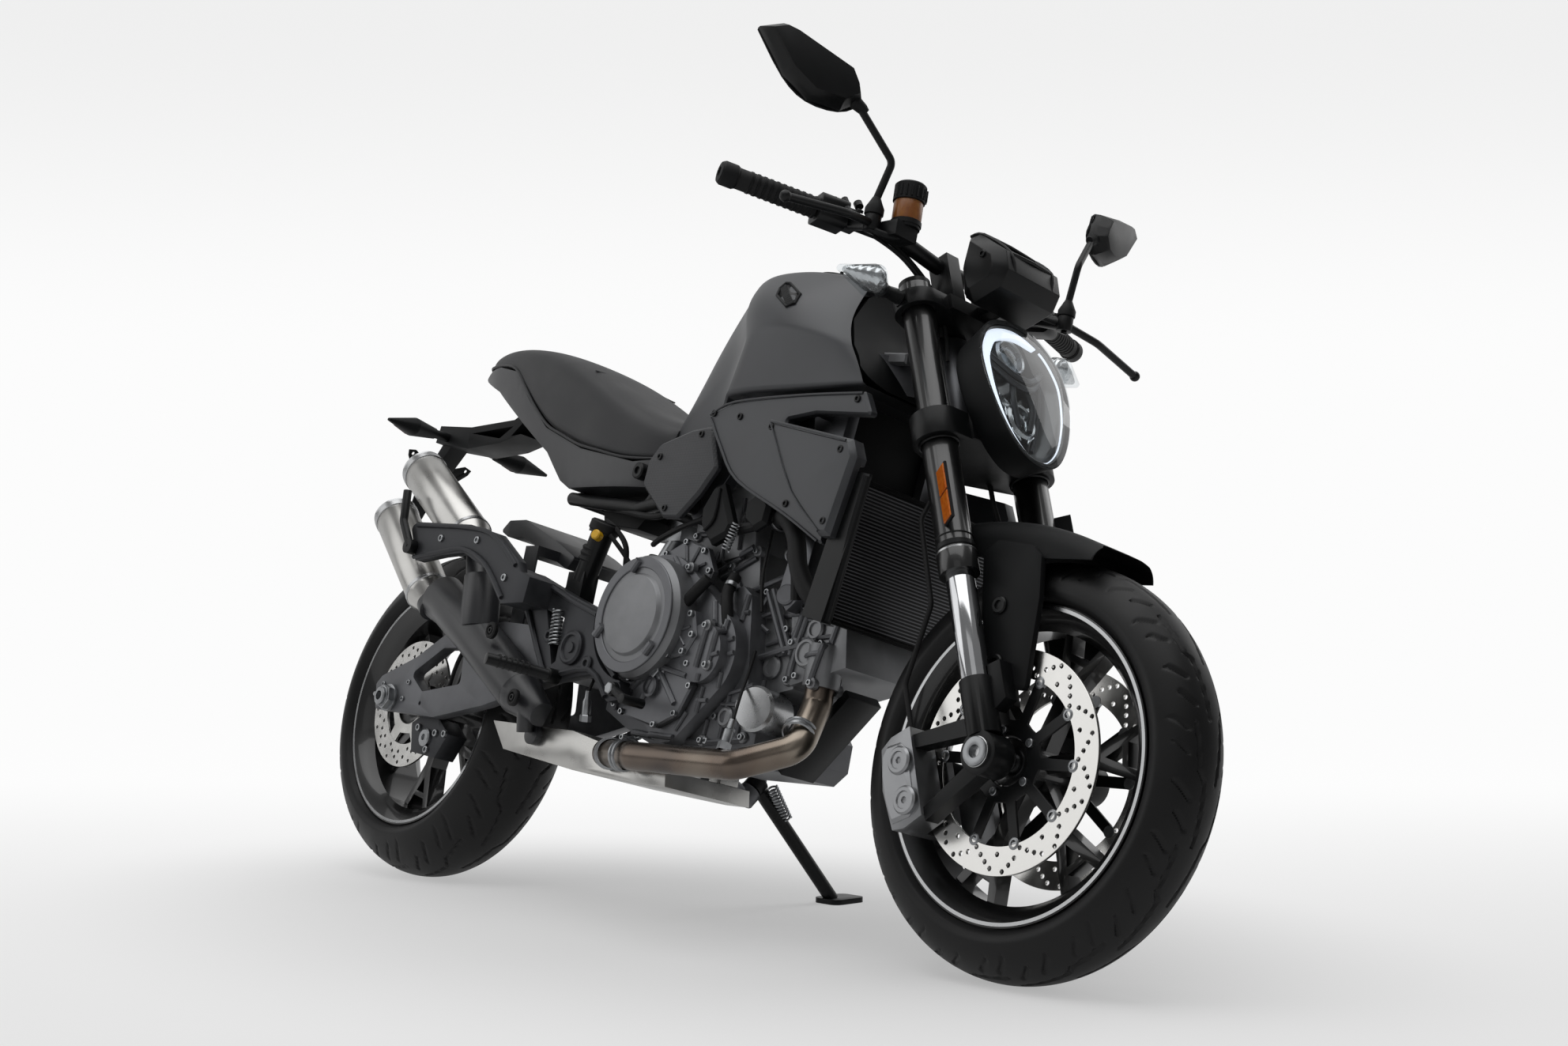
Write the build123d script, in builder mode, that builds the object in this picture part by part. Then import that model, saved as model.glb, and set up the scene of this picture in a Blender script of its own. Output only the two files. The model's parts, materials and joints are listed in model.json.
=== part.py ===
from build123d import *
import math
import os

os.makedirs("parts", exist_ok=True)

# Layout in millimetres: X forward, Y to the rider's left, Z up.
# The machine is drawn upright, origin on the ground below the engine,
# and leaned over on to its side stand at the end.
wheelbase = 1492.0
front_reach = 746.0
rake = 23.3
trail = 92.0
lean = 14.0

# Tyres and rims
bead_radius = 216.0
front_section = 84.0
rear_section = 99.0
lip_rise = 13.0
front_tyre_half = 60.0
front_crown = 62.0
rear_tyre_half = 90.0
rear_crown = 95.0
front_rim_half = 52.0
rear_rim_half = 78.0
seat_gap = 0.3

# Axles, hubs, discs and sprockets
axle_radius = 12.5
axle_clear = 1.0
axle_fit = 0.15
front_hub_half = 60.0
disc_thick = 5.0
front_disc_radius = 160.0
front_disc_inner = 118.0
rear_disc_radius = 122.5
rear_disc_y = -93.0
chain_stand_off = 3.0
chain_half_width = 9.0
chain_half_depth = 7.0
rear_pitch_radius = 106.0
front_pitch_radius = 39.0
sprocket_clear = 5.0

# Fork and steering head
fork_half = 105.0
slider_radius = 21.5
lower_tube_radius = 27.5
upper_tube_radius = 25.5
tube_low = 279.0
tube_top = 782.0
foot_top = 112.0
lower_clamp = 500.0
lower_clamp_thick = 45.0
upper_clamp = 735.0
upper_clamp_thick = 27.0
clamp_wall = 12.0
stem_radius = 15.0
stem_clear = 1.0
head_tube_radius = 33.0
head_end_gap = 4.0
clamp_fit = 0.2

# Bars
bar_radius = 12.7
grip_radius = 16.5
bar_end_y = 400.0

# Engine and frame widths
case_half = 105.0
head_half = 80.0
frame_in = 86.0
frame_out = 110.0
chain_recess = 13.0

# Swingarm
pivot_x = -165.0
pivot_z = 420.0
arm_clear = 5.0
arm_thick = 24.0
pivot_bolt_radius = 12.0

# Footrest plates
plate_gap = 4.0
plate_thick = 22.0
wing_in = 208.0
wing_out = 226.0
silencer_y = -165.0
silencer_radius = 42.0

# Side stand
stand_pivot = Vector(-8, 145, 247)
stand_foot_x = 17.0
stand_foot_y = 358.0
stand_leg_radius = 12.0
stand_pin_radius = 6.0
stand_pin_clear = 0.3

front_tyre_radius = bead_radius + front_section
rear_tyre_radius = bead_radius + rear_section
lip_radius = bead_radius + lip_rise
chain_side = case_half - chain_recess
chain_y = case_half + chain_stand_off
arm_in = chain_y + chain_half_width + arm_clear
arm_out = arm_in + arm_thick
plate_in = arm_out + plate_gap
plate_out = plate_in + plate_thick
lean_tan = math.tan(math.radians(lean))
lean_cos = math.cos(math.radians(lean))
lean_sin = math.sin(math.radians(lean))
front_x = front_reach
rear_x = front_reach - wheelbase
front_z = front_tyre_radius - front_crown + front_crown / lean_cos
rear_z = rear_tyre_radius - rear_crown + rear_crown / lean_cos

rake_sin = math.sin(math.radians(rake))
rake_cos = math.cos(math.radians(rake))
fork_up = Vector(-rake_sin, 0, rake_cos)
fork_ahead = Vector(rake_cos, 0, rake_sin)
setback = front_z * rake_sin - trail * rake_cos
fork_plane = Plane(origin=(front_x, 0, front_z), x_dir=fork_ahead, z_dir=fork_up)
ground_up = Vector(0, -lean_sin, lean_cos)

pieces = {}


def side_view(y):
    """Sketch plane seen from the right, X across and Z up, at lateral station y."""
    return Plane.XZ.offset(-y)


def at_fork(ahead, y, up):
    """Point given from the front axle along the fork's own directions."""
    return Vector(front_x, y, front_z) + fork_ahead * ahead + fork_up * up


def steer_x(z):
    """Station of the steering axis at a height of the upright machine."""
    return at_fork(-setback, 0, (z - front_z + setback * rake_sin) / rake_cos).X


def slab(outline, y_from, y_to, corner=0.0):
    """Plate drawn in the side view between two lateral stations, corners rounded where asked."""
    with BuildPart() as plate:
        with BuildSketch(side_view(y_from)) as face:
            with BuildLine():
                Polyline(*outline, close=True)
            make_face()
            if corner:
                fillet(face.vertices(), corner)
        extrude(amount=y_from - y_to)
    return plate.part


def rod(start, end, radius):
    """Round bar between two points."""
    along = Vector(*end) - Vector(*start)
    with BuildPart() as bar:
        with BuildSketch(Plane(origin=start, z_dir=along)):
            Circle(radius)
        extrude(amount=along.length)
    return bar.part


def pipe(points, bend, radius):
    """Bent round tube along straight runs joined by tangent arcs."""
    with BuildPart() as run:
        with BuildLine() as path:
            FilletPolyline(*points, radius=bend)
        with BuildSketch(Plane(origin=path.line @ 0, z_dir=path.line % 0)):
            Circle(radius)
        sweep(path=path.line)
    return run.part


def both_sides(piece):
    """The piece and its twin on the other side of the machine."""
    with BuildPart() as pair:
        add(piece)
        mirror(about=Plane.XZ)
    return pair.part


def disc_at(x, z, radius, y_from, y_to):
    """Cylinder across the machine."""
    return rod((x, y_from, z), (x, y_to, z), radius)


def block(x0, x1, y0, y1, z0, z1):
    """Rectangular block between two corners."""
    with BuildPart() as brick:
        with Locations(((x0 + x1) / 2, (y0 + y1) / 2, (z0 + z1) / 2)):
            Box(abs(x1 - x0), abs(y1 - y0), abs(z1 - z0))
    return brick.part


# Wheels: tyre, rim with forked spokes, discs and sprocket
def tyre(x, z, radius, half, crown, rim_half):
    shoulder = radius - crown + math.sqrt(crown**2 - half**2)
    seat = bead_radius + seat_gap
    edge = rim_half - 6 - seat_gap
    wall = 9.0
    with BuildPart() as ring:
        with BuildSketch(Plane(origin=(x, 0, z), x_dir=(1, 0, 0), z_dir=(0, 0, 1))):
            with BuildLine():
                ThreePointArc((shoulder, -half), (radius, 0), (shoulder, half))
                ThreePointArc(
                    (shoulder, half), ((shoulder + lip_radius) / 2, half - 1.5),
                    (lip_radius + 2, edge + 4),
                )
                Polyline(
                    (lip_radius + 2, edge + 4), (lip_radius + 2, edge), (seat, edge), (seat, edge - 16),
                )
                Polyline((seat, edge - 16), (seat + 16, edge - 10), (shoulder - 4, half - wall))
                ThreePointArc(
                    (shoulder - 4, half - wall), (radius - wall, 0), (shoulder - 4, wall - half),
                )
                Polyline(
                    (shoulder - 4, wall - half), (seat + 16, 10 - edge), (seat, 16 - edge), (seat, -edge),
                )
                Polyline((seat, -edge), (lip_radius + 2, -edge), (lip_radius + 2, -edge - 4))
                ThreePointArc(
                    (lip_radius + 2, -edge - 4), (
                        (shoulder + lip_radius) / 2, 1.5 - half,
                    ), (shoulder, -half)
                )
            make_face()
        revolve(axis=Axis((x, 0, z), (0, 1, 0)))
    return ring.part


def rim(x, z, half, hub_left, hub_right, hub_radius, spokes, spoke_half, phase):
    well = bead_radius - 14
    under = well - 7
    with BuildPart() as wheel:
        with BuildSketch(Plane(origin=(x, 0, z), x_dir=(1, 0, 0), z_dir=(0, 0, 1))):
            with BuildLine():
                Polyline(
                    (lip_radius, -half), (lip_radius, 6 - half), (bead_radius, 6 - half),
                    (bead_radius, 24 - half),
                    (well, 34 - half), (well, half - 34), (bead_radius, half - 24),
                    (bead_radius, half - 6),
                    (lip_radius, half - 6), (lip_radius, half), (lip_radius - 8, half),
                    (bead_radius - 7, half - 9),
                    (under, half - 30), (under, 30 - half), (bead_radius - 7, 9 - half),
                    (lip_radius - 8, -half),
                    close=True,
                )
            make_face()
        revolve(axis=Axis((x, 0, z), (0, 1, 0)))
        with BuildSketch(Plane(origin=(x, 0, z), x_dir=(1, 0, 0), z_dir=(0, -1, 0))):
            with PolarLocations(0, spokes, start_angle=phase):
                Polygon((26, 13), (118, 10), (118, -10), (26, -13), align=None)
                Polygon((108, 11), (under + 3, 44), (under + 3, 30), (118, -6), align=None)
                Polygon((108, -11), (118, 6), (under + 3, -30), (under + 3, -44), align=None)
                Polygon((160, 26), (170, 29), (170, -29), (160, -26), align=None)
        extrude(amount=spoke_half, both=True)
        add(disc_at(x, z, hub_radius, hub_right, hub_left))
        add(disc_at(x, z, axle_radius + axle_clear, hub_right - 1, hub_left + 1), mode=Mode.SUBTRACT)
    return wheel.part


pieces["front_tyre"] = tyre(
    front_x, front_z, front_tyre_radius, front_tyre_half, front_crown, front_rim_half,
)
pieces["rear_tyre"] = tyre(rear_x, rear_z, rear_tyre_radius, rear_tyre_half, rear_crown, rear_rim_half)
pieces["front_rim"] = rim(
    front_x, front_z, front_rim_half, front_hub_half, -front_hub_half, 34, 6, 14, 10,
)
sprocket_in = chain_y - 4
pieces["rear_rim"] = rim(rear_x, rear_z, rear_rim_half, sprocket_in, rear_disc_y, 42, 6, 18, 20)


def brake_disc(x, z, y_inner, outward, outer, inner, boss, arms):
    """Braking ring on a spider of arms bolted to the hub."""
    y_outer = y_inner + outward * disc_thick
    with BuildPart() as rotor:
        with BuildSketch(side_view(y_inner)):
            with Locations((x, z)):
                Circle(outer)
                Circle(inner, mode=Mode.SUBTRACT)
                with PolarLocations(0, arms):
                    Polygon((boss - 4, 7), (inner + 3, 9), (inner + 3, -9), (boss - 4, -7), align=None)
                Circle(boss)
                Circle(boss - 14, mode=Mode.SUBTRACT)
        extrude(amount=y_inner - y_outer)
    return rotor.part


front_disc = brake_disc(
    front_x, front_z, -front_hub_half, -1, front_disc_radius, front_disc_inner, 46, 10,
)
pieces["front_discs"] = both_sides(front_disc)
pieces["rear_disc"] = brake_disc(rear_x, rear_z, rear_disc_y, -1, rear_disc_radius, 78, 52, 6)

with BuildPart() as sprocket:
    with BuildSketch(side_view(sprocket_in)):
        with Locations((rear_x, rear_z)):
            Circle(rear_pitch_radius - chain_half_depth - sprocket_clear)
            Circle(30, mode=Mode.SUBTRACT)
            with PolarLocations(66, 6):
                Circle(15, mode=Mode.SUBTRACT)
    extrude(amount=-8)
pieces["rear_sprocket"] = sprocket.part

# Front fork: outer tubes, sliders, feet, axle
with BuildPart() as tube:
    with BuildSketch(fork_plane.offset(tube_low)):
        with Locations((0, -fork_half)):
            Circle(lower_tube_radius)
    extrude(amount=lower_clamp - tube_low + lower_clamp_thick)
    with BuildSketch(fork_plane.offset(lower_clamp + lower_clamp_thick)):
        with Locations((0, -fork_half)):
            Circle(upper_tube_radius)
    extrude(amount=tube_top - lower_clamp - lower_clamp_thick)
    with BuildSketch(fork_plane.offset(tube_low)):
        with Locations((0, -fork_half)):
            Circle(lower_tube_radius + 2.5)
    extrude(amount=34)
pieces["fork_tubes"] = both_sides(tube.part)

with BuildPart() as slider:
    with BuildSketch(fork_plane.offset(foot_top)):
        with Locations((0, -fork_half)):
            Circle(slider_radius)
    extrude(amount=tube_low - foot_top)
pieces["fork_sliders"] = both_sides(slider.part)

foot_in = 84.0
foot_out = 127.0
with BuildPart() as foot:
    with BuildSketch(fork_plane.offset(27)):
        with Locations((0, -fork_half)):
            Circle(25)
    extrude(amount=foot_top - 27)
    add(disc_at(front_x, front_z, 31, -foot_in, -foot_out))
    for reach, rise in ((-118, 62), (-118, -48)):
        root = 44 if rise > 0 else -8
        corners = [
            at_fork(2, 0, root + 14), at_fork(reach, 0, rise + 10), at_fork(reach, 0, rise - 10),
            at_fork(2, 0, root - 14),
        ]
        add(slab([(p.X, p.Z) for p in corners], -foot_in - 6, -foot_out + 10))
    tab_low = at_fork(22.5, 0, 60)
    tab_mid = at_fork(22.5, 0, 128)
    tab_top = at_fork(46, 0, 128)
    tab_end = at_fork(46, 0, 70)
    add(slab([(p.X, p.Z) for p in (tab_low, tab_mid, tab_top, tab_end)], -foot_in + 4, -foot_out + 22))
    add(disc_at(front_x, front_z, axle_radius + axle_fit, 0, -foot_out - 20), mode=Mode.SUBTRACT)
pieces["fork_feet"] = both_sides(foot.part)

with BuildPart() as front_axle:
    add(disc_at(front_x, front_z, axle_radius, -foot_out, foot_out))
    add(disc_at(front_x, front_z, 21, -foot_out - 8, -foot_out))
    add(disc_at(front_x, front_z, 21, foot_out, foot_out + 8))
    add(disc_at(front_x, front_z, 20, -foot_in, -front_hub_half - disc_thick - 3))
    add(disc_at(front_x, front_z, 20, foot_in, front_hub_half + disc_thick + 3))
    add(disc_at(front_x, front_z, 9, -foot_out - 9, foot_out + 9), mode=Mode.SUBTRACT)
pieces["front_axle"] = front_axle.part

# Radial calipers straddling the front discs
caliper_mid = at_fork(-140, 0, 8)
cal_in = front_hub_half - 22
with BuildPart() as caliper:
    with BuildSketch(
        Plane(origin=(caliper_mid.X, -cal_in, caliper_mid.Z), x_dir=fork_ahead, z_dir=(0, -1, 0))
    ):
        with BuildLine():
            Polyline(
                (-36, -62), (-14, -66), (22, -58), (22, 76), (-14, 72), (-36, 60), (-44, 0), close=True,
            )
        make_face()
    extrude(amount=foot_out - 4 - cal_in)
    with BuildSketch(side_view(-front_hub_half + 8)):
        with Locations((front_x, front_z)):
            Circle(front_disc_radius + 6)
    extrude(amount=disc_thick + 16, mode=Mode.SUBTRACT)
pieces["front_calipers"] = both_sides(caliper.part)

# Yokes with the steering stem
with BuildPart() as yokes:
    for height, thick, tube_r in (
        (lower_clamp, lower_clamp_thick, lower_tube_radius),
        (upper_clamp, upper_clamp_thick, upper_tube_radius),
    ):
        with BuildSketch(fork_plane.offset(height)):
            with Locations((0, fork_half), (0, -fork_half)):
                Circle(tube_r + clamp_wall)
            with Locations((-setback, 0)):
                Circle(stem_radius + 18)
            make_hull()
            with Locations((12, 0)):
                Rectangle(64, 2 * fork_half - 60)
            with Locations((0, fork_half), (0, -fork_half)):
                Circle(tube_r + clamp_fit, mode=Mode.SUBTRACT)
        extrude(amount=thick)
    with BuildSketch(fork_plane.offset(lower_clamp)):
        with Locations((-setback, 0)):
            Circle(stem_radius)
    extrude(amount=upper_clamp + upper_clamp_thick - lower_clamp + 8)
    for side in (1, -1):
        with BuildSketch(fork_plane.offset(upper_clamp + 4)):
            with Locations((0, side * (fork_half + upper_tube_radius + 8))):
                Rectangle(22, 12)
        extrude(amount=18)
pieces["yokes"] = yokes.part

# Headlamp shell, lens, instrument pod
lamp_back = 44.0
lamp_front = 100.0
lamp_low = 446.0
lamp_top = 702.0
lamp_half = 104.0


def lamp_outline(inset):
    """Egg outline, wide above and narrow below, in the fork's cross plane."""
    mid = 606.0
    wide = lamp_half - inset
    rise = lamp_top - inset - mid
    drop = mid - lamp_low - inset
    right = [(0.62, 0.80), (0.92, 0.40), (1.0, 0.0), (0.90, -0.38), (0.64, -0.74), (0.30, -0.955)]
    spots = [(0, 1.0)] + right + [(0, -1.0)] + [(-u, v) for u, v in right[::-1]]
    with BuildLine() as edge:
        Spline(*[(u * wide, mid + v * (rise if v > 0 else drop)) for u, v in spots], periodic=True)
    return edge.line


def lamp_plane(ahead):
    """Plane across the lamp: local x to the left, local y up the fork."""
    return Plane(origin=at_fork(ahead, 0, 0), x_dir=(0, 1, 0), z_dir=fork_ahead)


with BuildPart() as shell:
    with BuildSketch(lamp_plane(lamp_back)):
        add(lamp_outline(12))
        make_face()
    with BuildSketch(lamp_plane(lamp_front)):
        add(lamp_outline(0))
        make_face()
    loft()
    with BuildSketch(lamp_plane(lamp_front - 44)):
        add(lamp_outline(24))
        make_face()
    with BuildSketch(lamp_plane(lamp_front)):
        add(lamp_outline(7))
        make_face()
    loft(mode=Mode.SUBTRACT)
pieces["headlamp_shell"] = shell.part

with BuildPart() as lens:
    with BuildSketch(lamp_plane(lamp_front)):
        add(lamp_outline(2))
        make_face()
    extrude(amount=3)
    with BuildSketch(lamp_plane(lamp_front + 3)):
        add(lamp_outline(2))
        make_face()
    with BuildSketch(lamp_plane(lamp_front + 14)):
        add(lamp_outline(34))
        make_face()
    loft()
pieces["headlamp_lens"] = lens.part

pod_half = 79.0
with BuildPart() as pod:
    pod_edge = [
        (74, 730), (62, 748), (66, 800), (92, 846), (112, 840), (152, 786), (150, 752), (130, 730),
    ]
    points = [at_fork(a, 0, u) for a, u in pod_edge]
    add(slab([(p.X, p.Z) for p in points], pod_half, -pod_half))
    pod_sides = pod.edges().filter_by(Axis.Y, reverse=True)
    chamfer(pod_sides, 17)
    bracket = [at_fork(a, 0, u) for a, u in ((44, 740), (44, 760), (80, 760), (80, 740))]
    add(slab([(p.X, p.Z) for p in bracket], 14, -14))
pieces["instrument_pod"] = pod.part

# Handlebar on two risers, grips, hand controls, mirrors
bar_mid = at_fork(20, 0, 830)
bar_bend = Vector(422, 140, 1090)
bar_tip = Vector(318, bar_end_y, 1106)
bar_dir = (bar_tip - bar_bend).normalized()
with BuildPart() as bars:
    add(
        pipe(
            [
                (bar_mid.X, 0, bar_mid.Z), (bar_mid.X, -70, bar_mid.Z),
                (bar_bend.X, -bar_bend.Y, bar_bend.Z), (bar_tip.X, -bar_tip.Y, bar_tip.Z),
            ],
            45, bar_radius,
        )
    )
    tip = Vector(bar_tip.X, -bar_tip.Y, bar_tip.Z)
    out = Vector(bar_dir.X, -bar_dir.Y, bar_dir.Z)
    add(rod(tip, tip + out * 26, grip_radius + 1))
    with BuildSketch(fork_plane.offset(upper_clamp + upper_clamp_thick)):
        with Locations((20, -48)):
            Rectangle(40, 28)
    extrude(amount=830 - upper_clamp - upper_clamp_thick + 18)
    mirror(about=Plane.XZ)
pieces["handlebar"] = bars.part

with BuildPart() as grip:
    start = tip - out * 132
    with BuildSketch(Plane(origin=start, z_dir=out)):
        Circle(grip_radius)
        Circle(bar_radius + axle_fit, mode=Mode.SUBTRACT)
    extrude(amount=132)
pieces["grips"] = both_sides(grip.part)

lever_tip = Vector(462, -417, 1048)
lever_root = Vector(452, -232, 1078)
with BuildPart() as control:
    house = tip - out * 180
    with BuildSketch(Plane(origin=house, x_dir=(0, 0, 1), z_dir=out)):
        RectangleRounded(46, 50, 12)
    extrude(amount=46)
    perch = tip - out * 200
    with BuildSketch(Plane(origin=perch, x_dir=(0, 0, 1), z_dir=out)):
        RectangleRounded(34, 36, 10)
    extrude(amount=24)
    add(rod(perch + out * 12 + Vector(8, 0, -6), lever_root, 11))
    add(rod(lever_root + Vector(0, 0, -12), lever_root + Vector(0, 0, 16), 13))
    add(pipe([lever_root, (470, -300, 1066), lever_tip], 60, 6.5))
    with Locations(lever_tip):
        Sphere(9)
    add(rod(tip - out * 220, tip - out * 130, bar_radius + axle_fit), mode=Mode.SUBTRACT)
with BuildPart() as controls:
    add(control.part)
    add(block(458, 496, -222, -176, 1060, 1084))
    add(rod((482, -190, 1080), (478, -190, 1150), 22))
    add(rod(tip - out * 260, tip - out * 130, bar_radius + axle_fit), mode=Mode.SUBTRACT)
    add(mirror(control.part, about=Plane.XZ))
pieces["hand_controls"] = controls.part

mirror_mid = Vector(406, -355, 1286)
mirror_in = Vector(0.37, 0.93, 0).normalized()
mirror_ahead = Vector(0.93, -0.37, 0).normalized()
mirror_neck = mirror_mid + mirror_in * 74 + Vector(0, 0, -34)
mirror_edge = [
    (-104, 37), (-68, 54), (-46, 51), (54, 20), (70, -4), (78, -28), (46, -50), (-8, -50), (-52, -24),
]
with BuildPart() as glass:
    stem_foot = lever_root + Vector(0, 0, 16)
    add(
        pipe(
            [
                stem_foot, stem_foot + Vector(0, 0, 24), (466, -226, 1178), mirror_neck,
                mirror_mid + mirror_in * 40,
            ],
            18, 6,
        )
    )
    with BuildSketch(Plane(origin=mirror_mid, x_dir=mirror_in, z_dir=mirror_ahead)):
        with BuildLine():
            Polyline(*mirror_edge, close=True)
        make_face()
    extrude(amount=24, taper=24)
    with BuildSketch(Plane(origin=mirror_mid, x_dir=mirror_in, z_dir=mirror_ahead)):
        with BuildLine():
            Polyline(*mirror_edge, close=True)
        make_face()
    extrude(amount=-10)
pieces["mirrors"] = both_sides(glass.part)

with BuildPart() as winker:
    pad_y = fork_half + upper_tube_radius + 14
    stalk = at_fork(0, -pad_y, upper_clamp + 13)
    add(rod(stalk, stalk + Vector(0, -40, 0), 8))
    leaf = at_fork(0, -190, upper_clamp + 13)
    with BuildSketch(side_view(-pad_y - 36)):
        with Locations((leaf.X, leaf.Z)):
            Circle(9)
    with BuildSketch(side_view(-pad_y - 76)):
        with Locations((leaf.X + 14, leaf.Z)):
            Ellipse(31, 26)
    with BuildSketch(side_view(-pad_y - 138)):
        with Locations((leaf.X + 4, leaf.Z)):
            Ellipse(6, 5)
    loft(ruled=True)
pieces["front_indicators"] = both_sides(winker.part)

# Front mudguard: crown over the tyre and two side flanges down to the feet
guard_in = front_tyre_half + 9
guard_wall = 4.0
guard_round = 30.0
guard_over = front_tyre_radius + 16


def by_front_wheel(spots):
    """Points of the side view given in guard radii from the front axle."""
    return [(front_x + u * guard_over, front_z + v * guard_over) for u, v in spots]


def guard_bar(half, lift, overhang, corner):
    """Rounded bar along the crown, raised and lengthened as asked."""
    rear, mid, front = by_front_wheel([(-0.455, 1.116), (-0.05, 1.095), (0.323, 0.985)])
    low_front, low_rear = by_front_wheel([(0.312, 0.905), (-0.42, 0.93)])
    with BuildPart() as bar:
        with BuildSketch(side_view(half)):
            with BuildLine():
                start = (rear[0] - overhang, rear[1] + lift)
                end = (front[0] + overhang, front[1] + lift)
                ThreePointArc(start, (mid[0], mid[1] + lift), end)
                Polyline(
                    end, (low_front[0] + overhang, low_front[1] - overhang),
                    (low_rear[0] - overhang, low_rear[1] - overhang), start,
                )
            make_face()
        extrude(amount=2 * half)
        fillet(bar.edges().filter_by(GeomType.CIRCLE), corner)
    return bar.part


with BuildPart() as mudguard:
    add(guard_bar(guard_in + guard_wall, 0, 0, guard_round + guard_wall))
    add(guard_bar(guard_in, -guard_wall, 12, guard_round), mode=Mode.SUBTRACT)
    flange = by_front_wheel(
        [
            (-0.30, 0.94), (-0.22, 1.0), (-0.0127, 0.97), (0.05, 0.92), (0.076, 0.731), (0.076, 0.31),
            (-0.12, 0.323), (-0.247, 0.642),
        ]
    )
    add(slab(flange, -guard_in - 0.5, -foot_in + 4, 8))
    add(slab(flange, guard_in + 0.5, foot_in - 4, 8))
pieces["front_mudguard"] = mudguard.part

hose_top = at_fork(-42, -60, lower_clamp)
with BuildPart() as hose:
    cal_top = at_fork(-132, -102, 70)
    add(
        pipe(
            [
                hose_top, at_fork(-42, -60, 470), at_fork(-60, -100, 400), at_fork(-62, -102, 260),
                at_fork(-132, -102, 160), cal_top,
            ],
            24, 4,
        )
    )
    add(caliper.part, mode=Mode.SUBTRACT)
pieces["brake_hoses"] = both_sides(hose.part)

# Engine: crankcase with its covers, two cylinders in a right-angled vee
crank = Vector(110, 0, 430)
front_dir = Vector(math.cos(math.radians(12)), 0, math.sin(math.radians(12)))
rear_dir = Vector(-front_dir.Z, 0, front_dir.X)


def vee(along, across, axis_dir, cross_dir):
    p = crank + axis_dir * along + cross_dir * across
    return (p.X, p.Z)


deck = 100.0
block_top = 168.0
head_top = 290.0
front_deck = [vee(deck, s * head_half, front_dir, rear_dir) for s in (1, -1)]
rear_deck = [vee(deck, s * head_half, rear_dir, front_dir) for s in (-1, 1)]
case_outline = [
    (-128, 330), (-128, 500), (-96, 530), (-22, 530), rear_deck[0], rear_deck[1], front_deck[0],
    front_deck[1],
    (262, 330), (262, 285), (235, 262), (60, 262), (-60, 300),
]
clutch_x = -10.0
clutch_z = 478.0
clutch_face = -132.0
clutch_out = -178.0
clutch_radius = 104.0
clutch_seat = 10.0
sprocket_x = -72.0
sprocket_z = 420.0
with BuildPart() as crankcase:
    add(slab(case_outline, case_half, -case_half))
    add(block(-140, 0, chain_side, case_half + 20, 250, 620), mode=Mode.SUBTRACT)
    with BuildSketch(side_view(-case_half)):
        with Locations((clutch_x, clutch_z)):
            Circle(clutch_radius + clutch_seat)
        with Locations((130, 425)):
            Circle(78)
        with Locations((70, 330)):
            Circle(52)
        make_hull()
    extrude(amount=case_half * -1 - clutch_face)
    add(disc_at(142, 424, 48, clutch_face, clutch_face - 16))
    add(disc_at(crank.X + 12, crank.Z, 90, case_half - 1, case_half + 55))
    add(
        disc_at(
            sprocket_x, sprocket_z, front_pitch_radius - chain_half_depth - 1, chain_side - 1,
            chain_y + 6,
        )
    )
    add(
        slab(
            [(4, 366), (4, 474), (-72, 480), (-128, 440), (-128, 400), (-72, 360)], chain_y + 14,
            chain_y + 30,
        )
    )
    add(block(4, 40, case_half - 1, chain_y + 30, 366, 474))
    add(block(-36, 22, 55, 88, 242, 312))
    stand_axis = Vector(0.02, 0.6, 0.8).normalized()
    add(rod(stand_pivot - stand_axis * 24, stand_pivot - stand_axis * 2, 20))
    add(rod(stand_pivot - stand_axis * 17, (-8, 70, 262), 12))
    add(rod(stand_pivot - stand_axis * 3, stand_pivot + stand_axis * 26, stand_pin_radius))
    add(rod(stand_pivot + stand_axis * 25, stand_pivot + stand_axis * 31, 11))
pieces["crankcase"] = crankcase.part

with BuildPart() as clutch:
    add(disc_at(clutch_x, clutch_z, clutch_radius, clutch_face, clutch_out))
    chamfer(clutch.faces().sort_by(Axis.Y)[0].edges(), 12)
    with BuildSketch(side_view(clutch_out)):
        with Locations((clutch_x, clutch_z)):
            Circle(70)
    extrude(amount=7, taper=30)
pieces["clutch_cover"] = clutch.part

port_z = 390.0
with BuildPart() as cylinders:
    for axis_dir, cross_dir in ((front_dir, rear_dir), (rear_dir, front_dir)):
        block_edge = [
            (deck, -head_half), (block_top, -head_half), (block_top, head_half), (deck, head_half),
        ]
        head_edge = [
            (block_top, -head_half + 4), (head_top, -head_half + 10), (head_top, head_half - 10),
            (block_top, head_half - 4),
        ]
        add(slab([vee(a, c, axis_dir, cross_dir) for a, c in block_edge], head_half - 8, 8 - head_half))
        add(slab([vee(a, c, axis_dir, cross_dir) for a, c in head_edge], head_half, -head_half))
    front_boss = vee(190, 60, front_dir, rear_dir)
    rear_boss = vee(262, -40, rear_dir, front_dir)
    for bx, bz in (front_boss, rear_boss):
        add(disc_at(bx, bz, 18, -frame_in, frame_in))
    add(rod((350, -70, port_z), (350, -70, 456), 29))
pieces["cylinders"] = cylinders.part

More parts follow.
